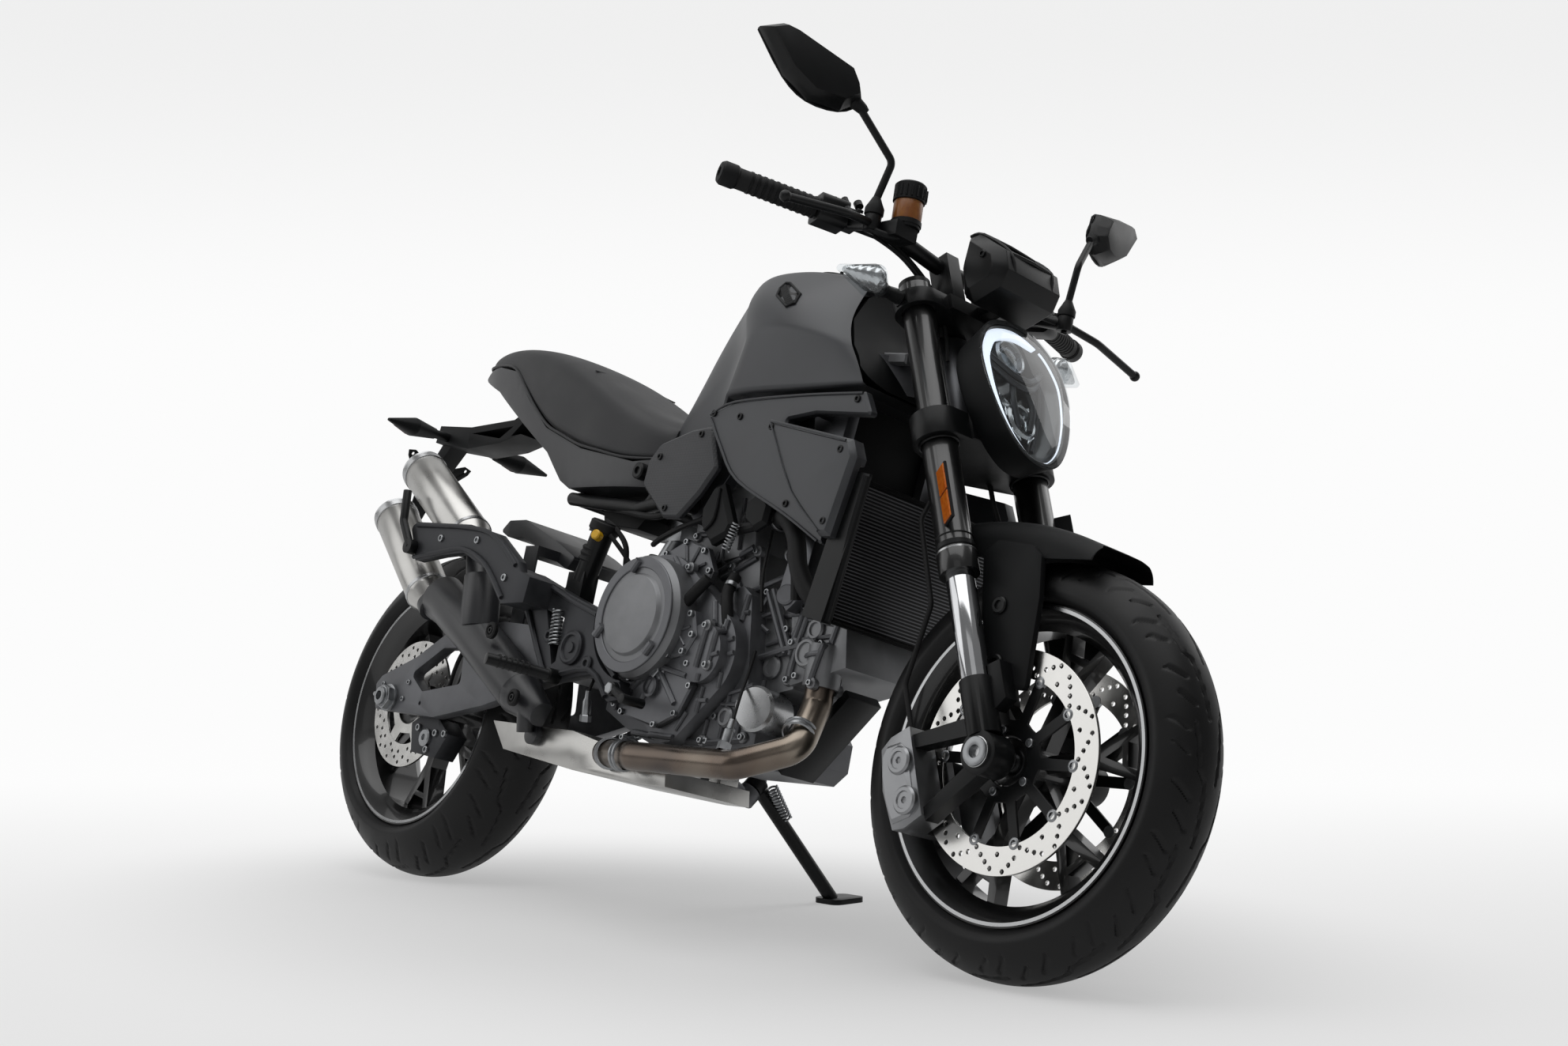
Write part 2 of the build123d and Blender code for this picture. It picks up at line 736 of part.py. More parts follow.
# Main frame: steering head, gusset and two side plates on to the cylinder heads
with BuildPart() as frame:
    side_plate = [
        (350, 926), (350, 862), (330, 700), (front_boss[0] + 26, front_boss[1] - 4),
        (front_boss[0], front_boss[1] - 26),
        (front_boss[0] - 26, front_boss[1]), (288, 700), (262, 846), (120, 780),
        (rear_boss[0] + 26, rear_boss[1]),
        (rear_boss[0], rear_boss[1] - 26), (rear_boss[0] - 26, rear_boss[1]), (-8, 770), (30, 802),
        (180, 900), (226, 945), (262, 945),
    ]
    add(slab(side_plate, -frame_in, -frame_out))
    add(slab(side_plate, frame_in, frame_out))
    neck = steer_x(896)
    with BuildSketch(Plane.XY.offset(866)):
        with BuildLine():
            Polyline(
                (neck - 34, 30), (350, frame_out), (262, frame_out), (262, frame_in), (neck - 130, 64),
                (neck - 90, 0),
                (neck - 130, -64), (262, -frame_in), (262, -frame_out), (350, -frame_out),
                (neck - 34, -30), close=True,
            )
        make_face()
    extrude(amount=60)
    head_low = lower_clamp + lower_clamp_thick + head_end_gap
    head_high = upper_clamp - head_end_gap
    with BuildSketch(fork_plane.offset(head_low)):
        with Locations((-setback, 0)):
            Circle(head_tube_radius)
    extrude(amount=head_high - head_low)
    with BuildSketch(fork_plane.offset(lower_clamp)):
        with Locations((-setback, 0)):
            Circle(stem_radius + stem_clear)
    extrude(amount=upper_clamp - lower_clamp, mode=Mode.SUBTRACT)
pieces["frame"] = frame.part

with BuildPart() as airbox:
    add(
        slab(
            [(330, 855), (318, 740), (250, 705), (150, 730), (150, 790), (262, 855)], frame_in, -frame_in,
        )
    )
pieces["airbox"] = airbox.part

# Space swept by the fork legs between the steering stops
sweep_reach = 160.0
sweep_half = 147.0
with BuildPart() as sweep_space:
    with BuildSketch(fork_plane.offset(460)):
        with Locations((-setback, 0)):
            Rectangle(2 * sweep_reach, 2 * sweep_half)
            Polygon(
                (-48, 0), (-84, 170), (-200, 170), (-200, -170), (-84, -170), align=None,
                mode=Mode.SUBTRACT,
            )
    extrude(amount=345)

# Fuel tank, open below over the frame
tank_stations = [
    (-118, 874, 58, 868, 80, 830, 82, 786),
    (-60, 962, 74, 946, 104, 880, 104, 792),
    (20, 1090, 88, 1074, 134, 1000, 132, 812),
    (95, 1104, 95, 1090, 160, 990, 150, 846),
    (190, 1097, 95, 1083, 168, 975, 158, 846),
    (285, 1078, 94, 1064, 166, 965, 160, 844),
    (350, 1058, 84, 1046, 146, 958, 152, 844),
    (402, 1030, 60, 1018, 104, 960, 128, 846),
]
with BuildPart() as tank:
    for x, top, shoulder, shoulder_z, wide, wide_z, base, base_z in tank_stations:
        with BuildSketch(Plane(origin=(x, 0, 0), x_dir=(0, 1, 0), z_dir=(1, 0, 0))):
            with BuildLine():
                ThreePointArc((-shoulder, shoulder_z), (0, top), (shoulder, shoulder_z))
                mid = ((shoulder + wide) / 2 + 12, (shoulder_z + wide_z) / 2 + 10)
                ThreePointArc((shoulder, shoulder_z), mid, (wide, wide_z))
                Line((wide, wide_z), (base, base_z))
                Line((base, base_z), (-base, base_z))
                Line((-base, base_z), (-wide, wide_z))
                ThreePointArc((-wide, wide_z), (-mid[0], mid[1]), (-shoulder, shoulder_z))
            make_face()
    loft()
    add(block(20, 420, -frame_out - 6, frame_out + 6, 780, 945), mode=Mode.SUBTRACT)
    add(block(-130, 20, -60, 60, 760, 860), mode=Mode.SUBTRACT)
    add(sweep_space.part, mode=Mode.SUBTRACT)
pieces["fuel_tank"] = tank.part

# Seat and tail: one envelope split along the seat's lower edge
tail_stations = [
    (-122, 102, 88, 700, 846, 854),
    (-190, 122, 108, 700, 860, 870),
    (-290, 132, 112, 700, 902, 914),
    (-400, 130, 108, 700, 956, 968),
    (-520, 118, 98, 760, 1000, 1012),
    (-640, 100, 80, 860, 1024, 1036),
    (-740, 76, 58, 930, 1032, 1042),
    (-812, 46, 34, 980, 1026, 1034),
]
seam = [
    (-122, 774), (-180, 768), (-323, 796), (-457, 846), (-545, 908), (-625, 976), (-720, 1000),
    (-812, 1010),
]
under = [
    (-122, 742), (-140, 722), (-340, 722), (-372, 738), (-436, 796), (-560, 866), (-700, 946),
    (-812, 988),
]
with BuildPart() as hull_shape:
    for x, base, shoulder, base_z, shoulder_z, top in tail_stations:
        with BuildSketch(Plane(origin=(x, 0, 0), x_dir=(0, 1, 0), z_dir=(1, 0, 0))):
            with BuildLine():
                ThreePointArc((-shoulder, shoulder_z), (0, top), (shoulder, shoulder_z))
                Line((shoulder, shoulder_z), (base, shoulder_z - 34))
                Line((base, shoulder_z - 34), (base - 6, base_z))
                Line((base - 6, base_z), (6 - base, base_z))
                Line((6 - base, base_z), (-base, shoulder_z - 34))
                Line((-base, shoulder_z - 34), (-shoulder, shoulder_z))
            make_face()
    loft()
with BuildPart() as seat:
    add(hull_shape.part)
    add(
        slab(seam + [(-840, 1010), (-840, 1100), (-100, 1100), (-100, 774)], 200, -200),
        mode=Mode.INTERSECT,
    )
pieces["seat"] = seat.part
with BuildPart() as tail:
    add(hull_shape.part)
    add(slab(seam + under[::-1], 200, -200), mode=Mode.INTERSECT)
pieces["tail_unit"] = tail.part

with BuildPart() as lamp:
    add(block(-822, -812, -26, 26, 992, 1008))
pieces["tail_lamp"] = lamp.part


def under_z(x):
    """Height of the tail's lower edge at a station."""
    for (xa, za), (xb, zb) in zip(under, under[1:]):
        if xb <= x <= xa:
            return za + (zb - za) * (x - xa) / (xb - xa)
    return under[-1][1]


# Rear subframe, tray under the seat, plate carrier and rear indicators
with BuildPart() as subframe:
    for side in (1, -1):
        add(disc_at(8, rear_boss[1] + 4, 16, side * frame_out, side * (frame_out + 20)))
        add(
            pipe(
                [
                    (8, side * 124, rear_boss[1] + 4), (-60, side * 124, 686), (-140, side * 110, 682),
                    (-352, side * 104, 709),
                ],
                40, 12,
            )
        )
        add(disc_at(4, 778, 15, side * frame_out, side * (frame_out + 20)))
        add(pipe([(4, side * 124, 778), (-50, side * 124, 750), (-122, side * 106, 690)], 40, 10))
    add(rod((-120, -112, 690), (-120, 112, 690), 11))
    add(rod((-346, -104, 708), (-346, 104, 708), 10))
    add(block(-352, -330, -98, 98, 700, 722))
pieces["rear_subframe"] = subframe.part

with BuildPart() as tray:
    add(slab([(-318, 722), (-300, 672), (-200, 660), (-180, 680), (-180, 722)], 62, -62))
pieces["battery_tray"] = tray.part

carrier_front = [(-660, under_z(-660)), (-600, under_z(-600))]
with BuildPart() as carrier:
    arm_edge = carrier_front + [
        (-735, 858), (-845, 852), (-972, 872), (-966, 908), (-850, 898), (-700, 904),
    ]
    add(slab(arm_edge, 36, -36))
    add(slab([(-700, 890), (-840, 884), (-740, 868)], 40, -40), mode=Mode.SUBTRACT)
    add(slab([(-660, 902), (-640, 876), (-700, 870)], 40, -40), mode=Mode.SUBTRACT)
    add(slab([(-930, 870), (-968, 873), (-1024, 796), (-1004, 792)], 20, -20))
    plate_top = Vector(-1000, 0, 834)
    plate_foot = Vector(-1070, 0, 668)
    plate_lie = (plate_top - plate_foot).normalized()
    face_out = Vector(plate_lie.Z * -1, 0, plate_lie.X)
    with BuildSketch(Plane(origin=plate_top, x_dir=(0, -1, 0), z_dir=face_out)):
        with BuildLine():
            Polyline(
                (-78, 12), (-62, 16), (0, -16), (62, 16), (78, 12), (74, 0), (24, -60), (10, -176),
                (-10, -176), (-24, -60), (-74, 0), close=True,
            )
        make_face()
        with Locations((-66, 7), (66, 7), (0, -168)):
            Circle(3.5, mode=Mode.SUBTRACT)
    extrude(amount=5)
pieces["plate_carrier"] = carrier.part

with BuildPart() as rear_winker:
    add(rod((-930, -36, 880), (-918, -78, 876), 9))
    with BuildSketch(Plane(origin=(-918, -76, 876), z_dir=(0.1, -1, -0.04))):
        Circle(11)
    with BuildSketch(Plane(origin=(-908, -134, 872), z_dir=(0.1, -1, -0.04))):
        Ellipse(26, 19)
    with BuildSketch(Plane(origin=(-896, -198, 867), z_dir=(0.1, -1, -0.04))):
        Ellipse(4, 3)
    loft(ruled=True)
    add(block(-960, -900, -36, 0, 840, 920), mode=Mode.SUBTRACT)
pieces["rear_indicators"] = both_sides(rear_winker.part)

# Side covers, radiator, shrouds
with BuildPart() as cover:
    add(
        slab(
            [
                (61, 808), (94, 734), (60, 690), (16, 650), (-24, 652), (-96, 712), (-92, 756),
                (-68, 784), (10, 804),
            ],
            -138, -150, 8,
        )
    )
    chamfer(cover.faces().sort_by(Axis.Y)[0].edges(), 5)
    add(disc_at(40, 762, 10, -frame_out, -138))
pieces["side_covers"] = both_sides(cover.part)

rad_lean = 12.0
rad_back = Vector(-math.cos(math.radians(rad_lean)), 0, math.sin(math.radians(rad_lean)))
rad_low = Vector(430, 0, 478)
rad_height = 218.0
rad_low_half = 150.0
rad_high_half = 170.0
rad_thick = 30.0
with BuildPart() as radiator:
    with BuildSketch(Plane(origin=rad_low, x_dir=(0, -1, 0), z_dir=rad_back)):
        with BuildLine():
            Polyline(
                (-rad_low_half, 0), (-rad_high_half, rad_height), (rad_high_half, rad_height),
                (rad_low_half, 0), close=True,
            )
        make_face()
    extrude(amount=rad_thick)
    with BuildSketch(Plane(origin=rad_low + rad_back * -6, x_dir=(0, -1, 0), z_dir=rad_back)):
        for side in (1, -1):
            with BuildLine():
                Polyline(
                    (side * rad_low_half, -6), (side * (rad_high_half + 2), -6),
                    (side * (rad_high_half + 2), rad_height + 8),
                    (side * (rad_high_half - 4), rad_height + 8), close=True,
                )
            make_face()
    extrude(amount=46)
    for side in (1, -1):
        add(block(300, 440, side * frame_out, side * (frame_out + 9), 660, 684))
pieces["radiator"] = radiator.part

wedge = [(246, 796), (448, 750), (462, 722), (434, 600), (412, 600), (330, 668)]
with BuildPart() as raised:
    add(slab(wedge, -164, -192))
    chamfer(raised.faces().sort_by(Axis.Y)[0].edges(), 8)

with BuildPart() as shroud:
    strip = [
        (70, 823), (127, 840), (285, 840), (432, 834), (456, 794), (330, 806), (262, 800), (345, 662),
        (410, 606),
        (392, 594), (300, 640), (170, 700), (112, 760),
    ]
    add(slab(strip, -150, -166, 5))
    chamfer(shroud.faces().sort_by(Axis.Y)[0].edges(), 4)
    add(raised.part)
    add(disc_at(304, 820, 9, -frame_out, -152))
    add(disc_at(140, 820, 9, -frame_out, -152))
    add(sweep_space.part, mode=Mode.SUBTRACT)
with BuildPart() as shroud_trim:
    add(shroud.part)
    add(block(395, 480, -172.5, -140, 440, 712), mode=Mode.SUBTRACT)
pieces["radiator_shrouds"] = both_sides(shroud_trim.part)

with BuildPart() as regulator:
    add(slab([(372, 396), (384, 384), (262, 256), (250, 264)], 34, -38))
    add(block(262, 296, 0, 30, 292, 312))
pieces["regulator"] = regulator.part

# Exhaust: headers, collector box, covered link pipe, two stacked silencers
header_radius = 23.0
header_run = [
    (350, -70, port_z), (350, -70, port_z - 26), (378, -118, 288), (300, -172, 247), (60, -174, 247),
    (-60, -140, 252),
]
with BuildPart() as headers:
    add(pipe(header_run, 34, header_radius))
pieces["exhaust_header"] = headers.part

with BuildPart() as box:
    add(
        slab(
            [
                (-400, 292), (-160, 285), (-70, 268), (30, 238), (104, 234), (110, 207), (52, 207),
                (-143, 219), (-352, 243),
            ],
            44, -140,
        )
    )
    add(block(70, 100, -20, 20, 230, 262))
    add(pipe(header_run, 34, header_radius + seat_gap), mode=Mode.SUBTRACT)
pieces["exhaust_box"] = box.part

upper_front = Vector(-541, silencer_y, 610)
upper_end = Vector(-777, silencer_y, 764)
lower_front = Vector(-641, silencer_y, 501)
lower_end = Vector(-842, silencer_y, 675)
with BuildPart() as silencers:
    for start_p, end_p in ((upper_front, upper_end), (lower_front, lower_end)):
        run = (end_p - start_p).normalized()
        with BuildSketch(Plane(origin=start_p, z_dir=run)):
            Circle(30)
        with BuildSketch(Plane(origin=start_p + run * 26, z_dir=run)):
            Circle(silencer_radius)
        loft()
        add(rod(start_p + run * 26, end_p, silencer_radius))
        add(rod(end_p - run * 60, end_p + run, silencer_radius - 8), mode=Mode.SUBTRACT)
        add(rod(end_p - run * 62, end_p - run * 8, 20))
pieces["silencers"] = silencers.part

cover_radius = 42.0
with BuildPart() as shield:
    cover_y = silencer_y + 3
    knee = Vector(-300, cover_y, 340)
    toe = Vector(-226, cover_y, 304)
    add(pipe([(-612, cover_y, 512), (-468, cover_y, 436), knee], 160, cover_radius))
    with BuildSketch(Plane(origin=knee, z_dir=toe - knee)):
        Circle(cover_radius)
    with BuildSketch(Plane(origin=toe, z_dir=toe - knee)):
        Circle(22)
    loft()
    add(rod((-464, cover_y - 4, 450), (-484, cover_y - 4, 546), 37))
    add(block(-720, -180, silencer_y + 15, 0, 200, 700), mode=Mode.SUBTRACT)
    for start_p, end_p, inner in (
        (upper_front, upper_end, (-480, 520)), (lower_front, lower_end, (-560, 470)),
    ):
        run = (end_p - start_p).normalized()
        add(rod(start_p - run * 18, start_p, 30))
        add(rod((inner[0], silencer_y - 12, inner[1]), start_p - run * 17, 22))
    add(disc_at(-262, 292 - 20, 18, -140, -152))
    add(rod((-262, -165, 272), (-262, -178, 330), 14))
pieces["exhaust_shield"] = shield.part

# Footrest plates, pegs and pedals, rear master cylinder
plate_edge = [
    (-330, 556), (-197, 512), (-106, 485), (-76, 417), (-21, 372), (-5, 338), (-42, 332), (-99, 377),
    (-207, 362), (-236, 375), (-329, 484),
]
with BuildPart() as right_plate:
    add(slab(plate_edge, -plate_in, -plate_out, 8))
    add(
        slab([(-262, 487), (-206, 472), (-206, 396), (-216, 390)], -plate_in + 2, -plate_out - 2),
        mode=Mode.SUBTRACT,
    )
    add(slab([(-330, 556), (-255, 531), (-260, 486), (-329, 484)], -plate_out + 1, -wing_out))
    arm_line = [
        (-655, 640), (-471, 630), (-381, 611), (-300, 560), (-260, 486), (-329, 486), (-399, 548),
        (-477, 578),
        (-553, 574), (-634, 565), (-672, 630),
    ]
    add(slab(arm_line, -wing_in, -wing_out, 8))
    add(
        disc_at(pivot_x, pivot_z, pivot_bolt_radius + clamp_fit, -plate_in + 5, -plate_out - 5),
        mode=Mode.SUBTRACT,
    )
    add(disc_at(clutch_x, clutch_z, clutch_radius + 6, -plate_in + 5, -plate_out - 5), mode=Mode.SUBTRACT)
    add(disc_at(-114, 394, 11, -case_half, -plate_in))
    add(disc_at(-22, 356, 9, clutch_face, -plate_in))
with BuildPart() as plates:
    add(right_plate.part)
    left_edge = [
        (-290, 500), (-197, 530), (-86, 512), (-60, 417), (-30, 345), (-112, 326), (-207, 362),
        (-250, 400),
    ]
    add(slab(left_edge, plate_in, plate_out, 10))
    add(
        disc_at(pivot_x, pivot_z, pivot_bolt_radius + clamp_fit, plate_in - 5, plate_out + 5),
        mode=Mode.SUBTRACT,
    )
    add(disc_at(-108, 494, 10, chain_side, plate_in))
    add(disc_at(-112, 340, 9, chain_side, plate_in))
pieces["footrest_plates"] = plates.part

with BuildPart() as pegs:
    for side in (1, -1):
        add(rod((-192, side * plate_out, 368), (-192, side * (plate_out + 22), 368), 13))
        add(
            pipe(
                [(-192, side * (plate_out + 14), 368), (-206, side * 230, 370), (-226, side * 298, 372)],
                30, 10,
            )
        )
    add(rod((-648, -wing_out, 590), (-648, -wing_out - 16, 590), 14))
    add(pipe([(-648, -wing_out - 9, 590), (-690, -wing_out - 9, 640), (-700, -wing_out - 9, 700)], 20, 8))
pieces["footrests"] = pegs.part

with BuildPart() as pedals:
    add(rod((-20, -plate_out, 352), (-20, -plate_out - 14, 352), 12))
    add(pipe([(-20, -plate_out - 7, 352), (60, -214, 330), (96, -222, 326)], 40, 7))
    add(rod((96, -206, 326), (96, -250, 326), 8))
    add(rod((-50, plate_out, 390), (-50, plate_out + 14, 390), 12))
    add(pipe([(-50, plate_out + 7, 390), (20, 214, 372), (70, 222, 366)], 40, 7))
    add(rod((70, 206, 366), (70, 250, 366), 9))
pieces["pedals"] = pedals.part

with BuildPart() as master:
    add(block(-252, -206, -plate_in, -118, 508, 560))
    add(rod((-226, -134, 545), (-196, -134, 640), 20))
    add(rod((-199, -134, 630), (-194, -134, 652), 25))
pieces["rear_master_cylinder"] = master.part

# Swingarm, rear axle, rear caliper, chain, hugger, shock
arm_length = pivot_x - rear_x


def along_arm(spots):
    """Points of the side view given in arm lengths behind the pivot, with their height."""
    return [(pivot_x - share * arm_length, z) for share, z in spots]


arm_outline = along_arm(
    [
        (1.103, 344), (1.076, 296), (0.725, 288), (0.465, 316), (0, 388), (-0.05, 420), (0, 448),
        (0.232, 462),
        (0.439, 470), (0.732, 450), (0.892, 399), (1.076, 360),
    ]
)
window = along_arm([(0.904, 366), (0.745, 418), (0.628, 420), (0.611, 352), (0.818, 334)])
bobbin = along_arm([(0.8176, 312)])[0]
brace_top = 432.0
with BuildPart() as swingarm:
    for side in (1, -1):
        add(slab(arm_outline, side * arm_in, side * arm_out, 7))
        add(slab(window, side * (arm_in - 2), side * (arm_out + 2), 9), mode=Mode.SUBTRACT)
    add(disc_at(pivot_x, pivot_z, 26, -arm_out, arm_out))
    add(block(-350, -240, -arm_in - 1, arm_in + 1, 388, brace_top))
    add(block(-260, -150, -80, 80, 400, brace_top))
    add(disc_at(pivot_x, pivot_z, pivot_bolt_radius, -plate_out, plate_out))
    add(disc_at(rear_x, rear_z, axle_radius + axle_fit, -arm_out - 5, arm_out + 5), mode=Mode.SUBTRACT)
    for side in (1, -1):
        add(disc_at(*bobbin, 4, side * (arm_out - 16), side * (arm_out + 1)), mode=Mode.SUBTRACT)
pieces["swingarm"] = swingarm.part

with BuildPart() as rear_axle:
    add(disc_at(rear_x, rear_z, axle_radius, -arm_out, arm_out))
    add(disc_at(rear_x, rear_z, 26, -arm_out - 6, -arm_out))
    add(disc_at(rear_x, rear_z, 20, -arm_out - 20, -arm_out - 6))
    add(disc_at(rear_x, rear_z, 24, arm_out, arm_out + 14))
    add(disc_at(rear_x, rear_z, 20, -arm_in, rear_disc_y - disc_thick - 3))
    add(disc_at(rear_x, rear_z, 20, arm_in, sprocket_in + 3))
    add(disc_at(rear_x, rear_z, 10, -arm_out - 21, -arm_out + 60), mode=Mode.SUBTRACT)
pieces["rear_axle"] = rear_axle.part



def by_rear_wheel(spots):
    """Points of the side view given from the rear axle."""
    return [(rear_x + dx, rear_z + dz) for dx, dz in spots]


with BuildPart() as rear_caliper:
    jaw = by_rear_wheel([(56, -40), (91, -22), (148, -30), (186, -56), (156, -102), (74, -94)])
    add(slab(jaw, rear_disc_y + 14, -arm_in))
    hanger = by_rear_wheel([(86, 2), (146, -2), (146, -38), (86, -34)])
    add(slab(hanger, rear_disc_y - disc_thick - 8, -arm_in))
    with BuildSketch(side_view(rear_disc_y + 4)):
        with Locations((rear_x, rear_z)):
            Circle(rear_disc_radius + 6)
    extrude(amount=disc_thick + 8, mode=Mode.SUBTRACT)
pieces["rear_caliper"] = rear_caliper.part

with BuildPart() as chain:
    for offset, how in ((chain_half_depth, Mode.ADD), (-chain_half_depth, Mode.SUBTRACT)):
        with BuildSketch(side_view(chain_y - chain_half_width)):
            with Locations((rear_x, rear_z)):
                Circle(rear_pitch_radius + offset)
            with Locations((sprocket_x, sprocket_z)):
                Circle(front_pitch_radius + offset)
            make_hull()
        extrude(amount=-2 * chain_half_width, mode=how)
pieces["chain"] = chain.part

with BuildPart() as hugger:
    sheet = by_rear_wheel(
        [
            (140, 346), (162, 366), (215, 366), (322, 324), (394, 290), (374, 268), (316, 294),
            (216, 332), (166, 334),
        ]
    )
    add(slab(sheet, 72, -72, 5))
    strut = by_rear_wheel([(306, 282), (346, 282), (346, 300), (306, 300)])
    add(slab(strut, arm_in, -arm_in))
    leg = by_rear_wheel([(306, 107), (346, 107), (346, 300), (306, 300)])
    for side in (1, -1):
        add(slab(leg, side * (arm_in - 4), side * arm_in))
pieces["rear_hugger"] = hugger.part

with BuildPart() as shock:
    low = Vector(-270, 0, 478)
    high = Vector(-150, 0, 664)
    add(rod(low, high, 18))
    aim = (high - low).normalized()
    add(rod(low + aim * 40, low + aim * 160, 32))
    add(block(-292, -250, -18, 18, brace_top, 488))
    add(block(-172, -131, -18, 18, 650, 690))
    add(rod((-120, -60, 690), (-120, 60, 690), 11.2), mode=Mode.SUBTRACT)
pieces["shock_absorber"] = shock.part

# Side stand: eye, leg and a flat foot lying on the ground
with BuildPart() as stand:
    add(rod(stand_pivot + stand_axis * 1.5, stand_pivot + stand_axis * 23, 19))
    foot_mid = Vector(stand_foot_x, stand_foot_y, stand_foot_y * lean_tan)
    ankle = foot_mid + ground_up * 6
    add(rod(stand_pivot + stand_axis * 14, ankle, stand_leg_radius))
    with BuildSketch(Plane(origin=foot_mid, x_dir=(1, 0, 0), z_dir=ground_up)):
        with Locations((4, 14)):
            RectangleRounded(62, 74, 16)
    extrude(amount=9)
    add(
        rod(
            stand_pivot - stand_axis * 5, stand_pivot + stand_axis * 40,
            stand_pin_radius + stand_pin_clear,
        ),
        mode=Mode.SUBTRACT,
    )
    add(rod(stand_pivot + stand_axis * 24, stand_pivot + stand_axis * 60, 13), mode=Mode.SUBTRACT)
    with BuildSketch(Plane(origin=foot_mid - ground_up * 40, x_dir=(1, 0, 0), z_dir=ground_up)):
        Rectangle(300, 300)
    extrude(amount=40, mode=Mode.SUBTRACT)
pieces["side_stand"] = stand.part

# Lean the machine over on its stand and put the origin under the middle of its outline
lean_over = Location((0, 0, 0), (-lean, 0, 0))
leaned = {}
for name, piece in pieces.items():
    leaned[name] = piece.moved(lean_over)
boxes = [piece.bounding_box() for piece in leaned.values()]
low_x = min(b.min.X for b in boxes)
high_x = max(b.max.X for b in boxes)
low_y = min(b.min.Y for b in boxes)
high_y = max(b.max.Y for b in boxes)
shift = Location((-(low_x + high_x) / 2, -(low_y + high_y) / 2, 0))
for name, piece in leaned.items():
    parked = piece.moved(shift)
    parked.label = name
    export_step(parked, f"parts/{name}.step")

park = shift * lean_over


def place(point):
    """Where a point of the upright machine comes to on the stand."""
    spot = (park * Location(tuple(Vector(*point)))).position
    return tuple(round(v, 3) for v in spot)


def heading(direction):
    """Where a direction of the upright machine points on the stand."""
    turned = (lean_over * Location(tuple(Vector(*direction)))).position
    return tuple(round(v, 6) for v in turned)


print("size", round(high_x - low_x, 1), round(high_y - low_y, 1), round(max(b.max.Z for b in boxes), 1))
print("floor", round(min(b.min.Z for b in boxes), 3))
print("joint steering", place(at_fork(-setback, 0, 620)), heading(fork_up))
print("joint front_wheel_spin", place((front_x, 0, front_z)), heading((0, 1, 0)))
print("joint rear_wheel_spin", place((rear_x, 0, rear_z)), heading((0, 1, 0)))
print("joint side_stand_pivot", place(stand_pivot), heading(stand_axis))
print("mount stand_foot", place(foot_mid + Vector(4, 14, 14 * lean_tan)), (0, 0, -1))
print("mount bobbin_left", place((bobbin[0], arm_out, bobbin[1])), heading((0, 1, 0)))
print("mount bobbin_right", place((bobbin[0], -arm_out, bobbin[1])), heading((0, -1, 0)))
for side, across, down in (("left", 66, 7), ("right", -66, 7), ("low", 0, -168)):
    hole = plate_top + Vector(0, across, 0) + plate_lie * down
    print("mount plate_hole_" + side, place(hole + face_out * 5), heading(face_out))
print("midpoint", place((0, 0, 0)))
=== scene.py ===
import json
import math

import bmesh
import bpy
import numpy as np
from bpy.props import FloatProperty, FloatVectorProperty, IntProperty, PointerProperty
from mathutils import Matrix, Vector
from mathutils.bvhtree import BVHTree


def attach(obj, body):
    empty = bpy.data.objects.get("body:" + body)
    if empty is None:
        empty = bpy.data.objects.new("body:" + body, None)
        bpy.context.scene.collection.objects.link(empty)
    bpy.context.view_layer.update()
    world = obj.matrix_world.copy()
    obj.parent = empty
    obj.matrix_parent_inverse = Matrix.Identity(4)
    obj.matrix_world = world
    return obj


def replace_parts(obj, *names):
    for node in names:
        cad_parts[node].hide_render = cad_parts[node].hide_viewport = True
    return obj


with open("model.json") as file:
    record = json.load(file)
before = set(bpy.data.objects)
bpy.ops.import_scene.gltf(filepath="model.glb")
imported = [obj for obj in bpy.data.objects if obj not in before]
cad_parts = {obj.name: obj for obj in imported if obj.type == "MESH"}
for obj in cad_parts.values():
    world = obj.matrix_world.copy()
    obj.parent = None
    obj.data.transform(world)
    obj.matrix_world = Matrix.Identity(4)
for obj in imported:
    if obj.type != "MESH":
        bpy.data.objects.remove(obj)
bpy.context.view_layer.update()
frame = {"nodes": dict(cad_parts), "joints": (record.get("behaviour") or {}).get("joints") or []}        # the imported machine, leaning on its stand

bl_info = {
    "name": "Roadster Motorcycle",
    "version": (1, 0, 0),
    "blender": (4, 5, 0),
    "location": "3D View > Sidebar > Roadster",
    "description": "Dresses the packed roadster: finishes, tread, brakes, lamps, engine fittings and stage",
    "category": "Object",
}

# Places are in millimetres on the upright machine (X forward, Y left, Z up, origin on the ground
# midway between the axles) and are carried into the row frame by these matrices.
MM = 0.001
WHEELBASE = 1492.0
LEAN_COS = math.cos(math.radians(14.0))
FRONT_RADIUS, FRONT_HALF, FRONT_CROWN = 300.0, 60.0, 62.0
REAR_RADIUS, REAR_HALF, REAR_CROWN = 315.0, 90.0, 95.0
FRONT_RIM_HALF, REAR_RIM_HALF = 52.0, 78.0
RIM_LIP_RADIUS, BEAD_RADIUS = 231.0, 216.3
REAR_AXLE_Z = REAR_RADIUS - REAR_CROWN + REAR_CROWN / LEAN_COS
JOINTS = {joint["name"]: joint for joint in frame["joints"]}
LEFT = Vector(JOINTS["rear_wheel_spin"]["axis"]).normalized()
AHEAD = Vector((1, 0, 0))
UP = AHEAD.cross(LEFT)
FORK_UP = Vector(JOINTS["steering"]["axis"]).normalized()
FORK_AHEAD = LEFT.cross(FORK_UP)


def basis(x_dir, y_dir, z_dir, origin):
    """Matrix from millimetres along three directions to metres in the row frame."""
    turn = Matrix((x_dir, y_dir, z_dir)).transposed().to_4x4()
    return Matrix.Translation(origin) @ turn @ Matrix.Scale(MM, 4)


